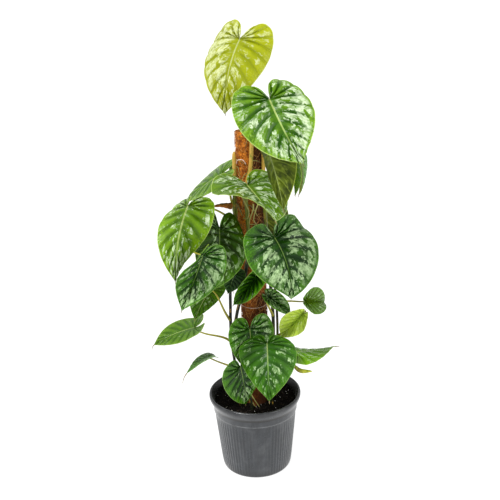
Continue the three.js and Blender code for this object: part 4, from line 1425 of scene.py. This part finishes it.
def spindle_material():
    """Yellow-green, browned on its stem side and below."""
    graph = Graph("unfurling_leaf")
    place_vector = graph.place()
    speckle = graph.noise(place_vector, 160, detail=3)
    x, _, _ = graph.parts(place_vector)
    graph.mottle(speckle, 0.35, 0.65, (0.3, 0.36, 0.01), (0.62, 0.62, 0.06))
    graph.cover((0.1, 0.03, 0.01), graph.step(x, 0.108, 0.094), graph.step(speckle, 0.3, 0.55), 0.8)
    graph.bump(speckle, 0.0004, 0.6)
    return graph.finish(0.45, 0.3)


def sheath_material():
    """Papery brown and rust, with a dark green upper edge."""
    graph = Graph("withered_sheath")
    place_vector = graph.place()
    x, _, z = graph.parts(place_vector)
    grain = graph.noise(graph.scaled(place_vector, 0.3, 1, 1), 260, detail=4, roughness=0.7)
    edge = graph.step(graph.less(z, graph.times(x, 0.02)), 0.6095, 0.6125)
    graph.mottle(grain, 0.35, 0.62, (0.14, 0.07, 0.015), (0.6, 0.19, 0.03))
    graph.cover((0.02, 0.06, 0.008), edge, 0.9)
    graph.bump(grain, 0.0008, 0.9)
    return graph.finish(0.7, 0.25)


# Studio

def make_studio():
    ground = bpy.data.meshes.new("floor")
    corners = [(x * FLOOR_HALF, y * FLOOR_HALF, 0) for x, y in ((-1, -1), (1, -1), (1, 1), (-1, 1))]
    ground.from_pydata(corners, [], [(0, 1, 2, 3)])
    floor = stand("floor", ground)
    pale = Graph("floor")
    pale.shader.inputs["Emission Color"].default_value = (1, 1, 1, 1)
    pale.shader.inputs["Emission Strength"].default_value = FLOOR_GLOW
    pale.colour = (0.2, 0.2, 0.2)
    ground.materials.append(pale.finish(0.9, 0.0))

    world = bpy.data.worlds.new("studio")
    bpy.context.scene.world = world
    world.use_nodes = True
    background = world.node_tree.nodes["Background"]
    background.inputs["Color"].default_value = (1, 1, 1, 1)
    background.inputs["Strength"].default_value = SKY_LIGHT

    add_sun("key", KEY_LIGHT, KEY_WIDTH, KEY_TURN)
    add_lamp("side", (1.6, -1.3, 1.5), (0, 0, 0.6), 1.0, 14)

    lens = bpy.data.cameras.new("camera")
    lens.lens = LENS
    lens.sensor_width = SENSOR_WIDTH
    camera = stand("camera", lens)
    camera.matrix_world = (
        Matrix.Translation(CAMERA_PLACE)
        @ Matrix.Rotation(math.radians(90 - CAMERA_PITCH), 4, "X")
        @ Matrix.Rotation(math.radians(CAMERA_ROLL), 4, "Z")
    )
    bpy.context.scene.camera = camera
    bpy.context.scene.view_settings.view_transform = "Standard"


def add_sun(name, energy, width, turn):
    """A soft light from one side of the sky, as wide as the given angle."""
    sun = bpy.data.lights.new(name, "SUN")
    sun.energy = energy
    sun.angle = math.radians(width)
    stand(name, sun).rotation_euler = [math.radians(degrees) for degrees in turn]


def add_lamp(name, place_at, target, size, power):
    """A round lamp at one place, turned to another."""
    lamp = bpy.data.lights.new(name, "AREA")
    lamp.shape = "DISK"
    lamp.size = size
    lamp.energy = power
    holder = stand(name, lamp)
    holder.location = place_at
    holder.rotation_euler = (Vector(target) - Vector(place_at)).to_track_quat("-Z", "Y").to_euler()


make_studio()
make_pot()
make_soil()
make_pole()
make_stake()
stem_materials = [
    stem_material("stem_skin", (0.01, 0.015, 0.005), (0.17, 0.2, 0.015), husk=(0.62, 0.36, 0.06)),
    stem_material("aerial_root", (0.12, 0.05, 0.02), (0.42, 0.4, 0.12)),
    stem_material("petiole_skin", (0.03, 0.035, 0.006), (0.46, 0.43, 0.05)),
]
for stem_name in STEMS:
    make_stem(stem_name, stem_materials)
make_leaves()
make_spindle()
make_sheath()
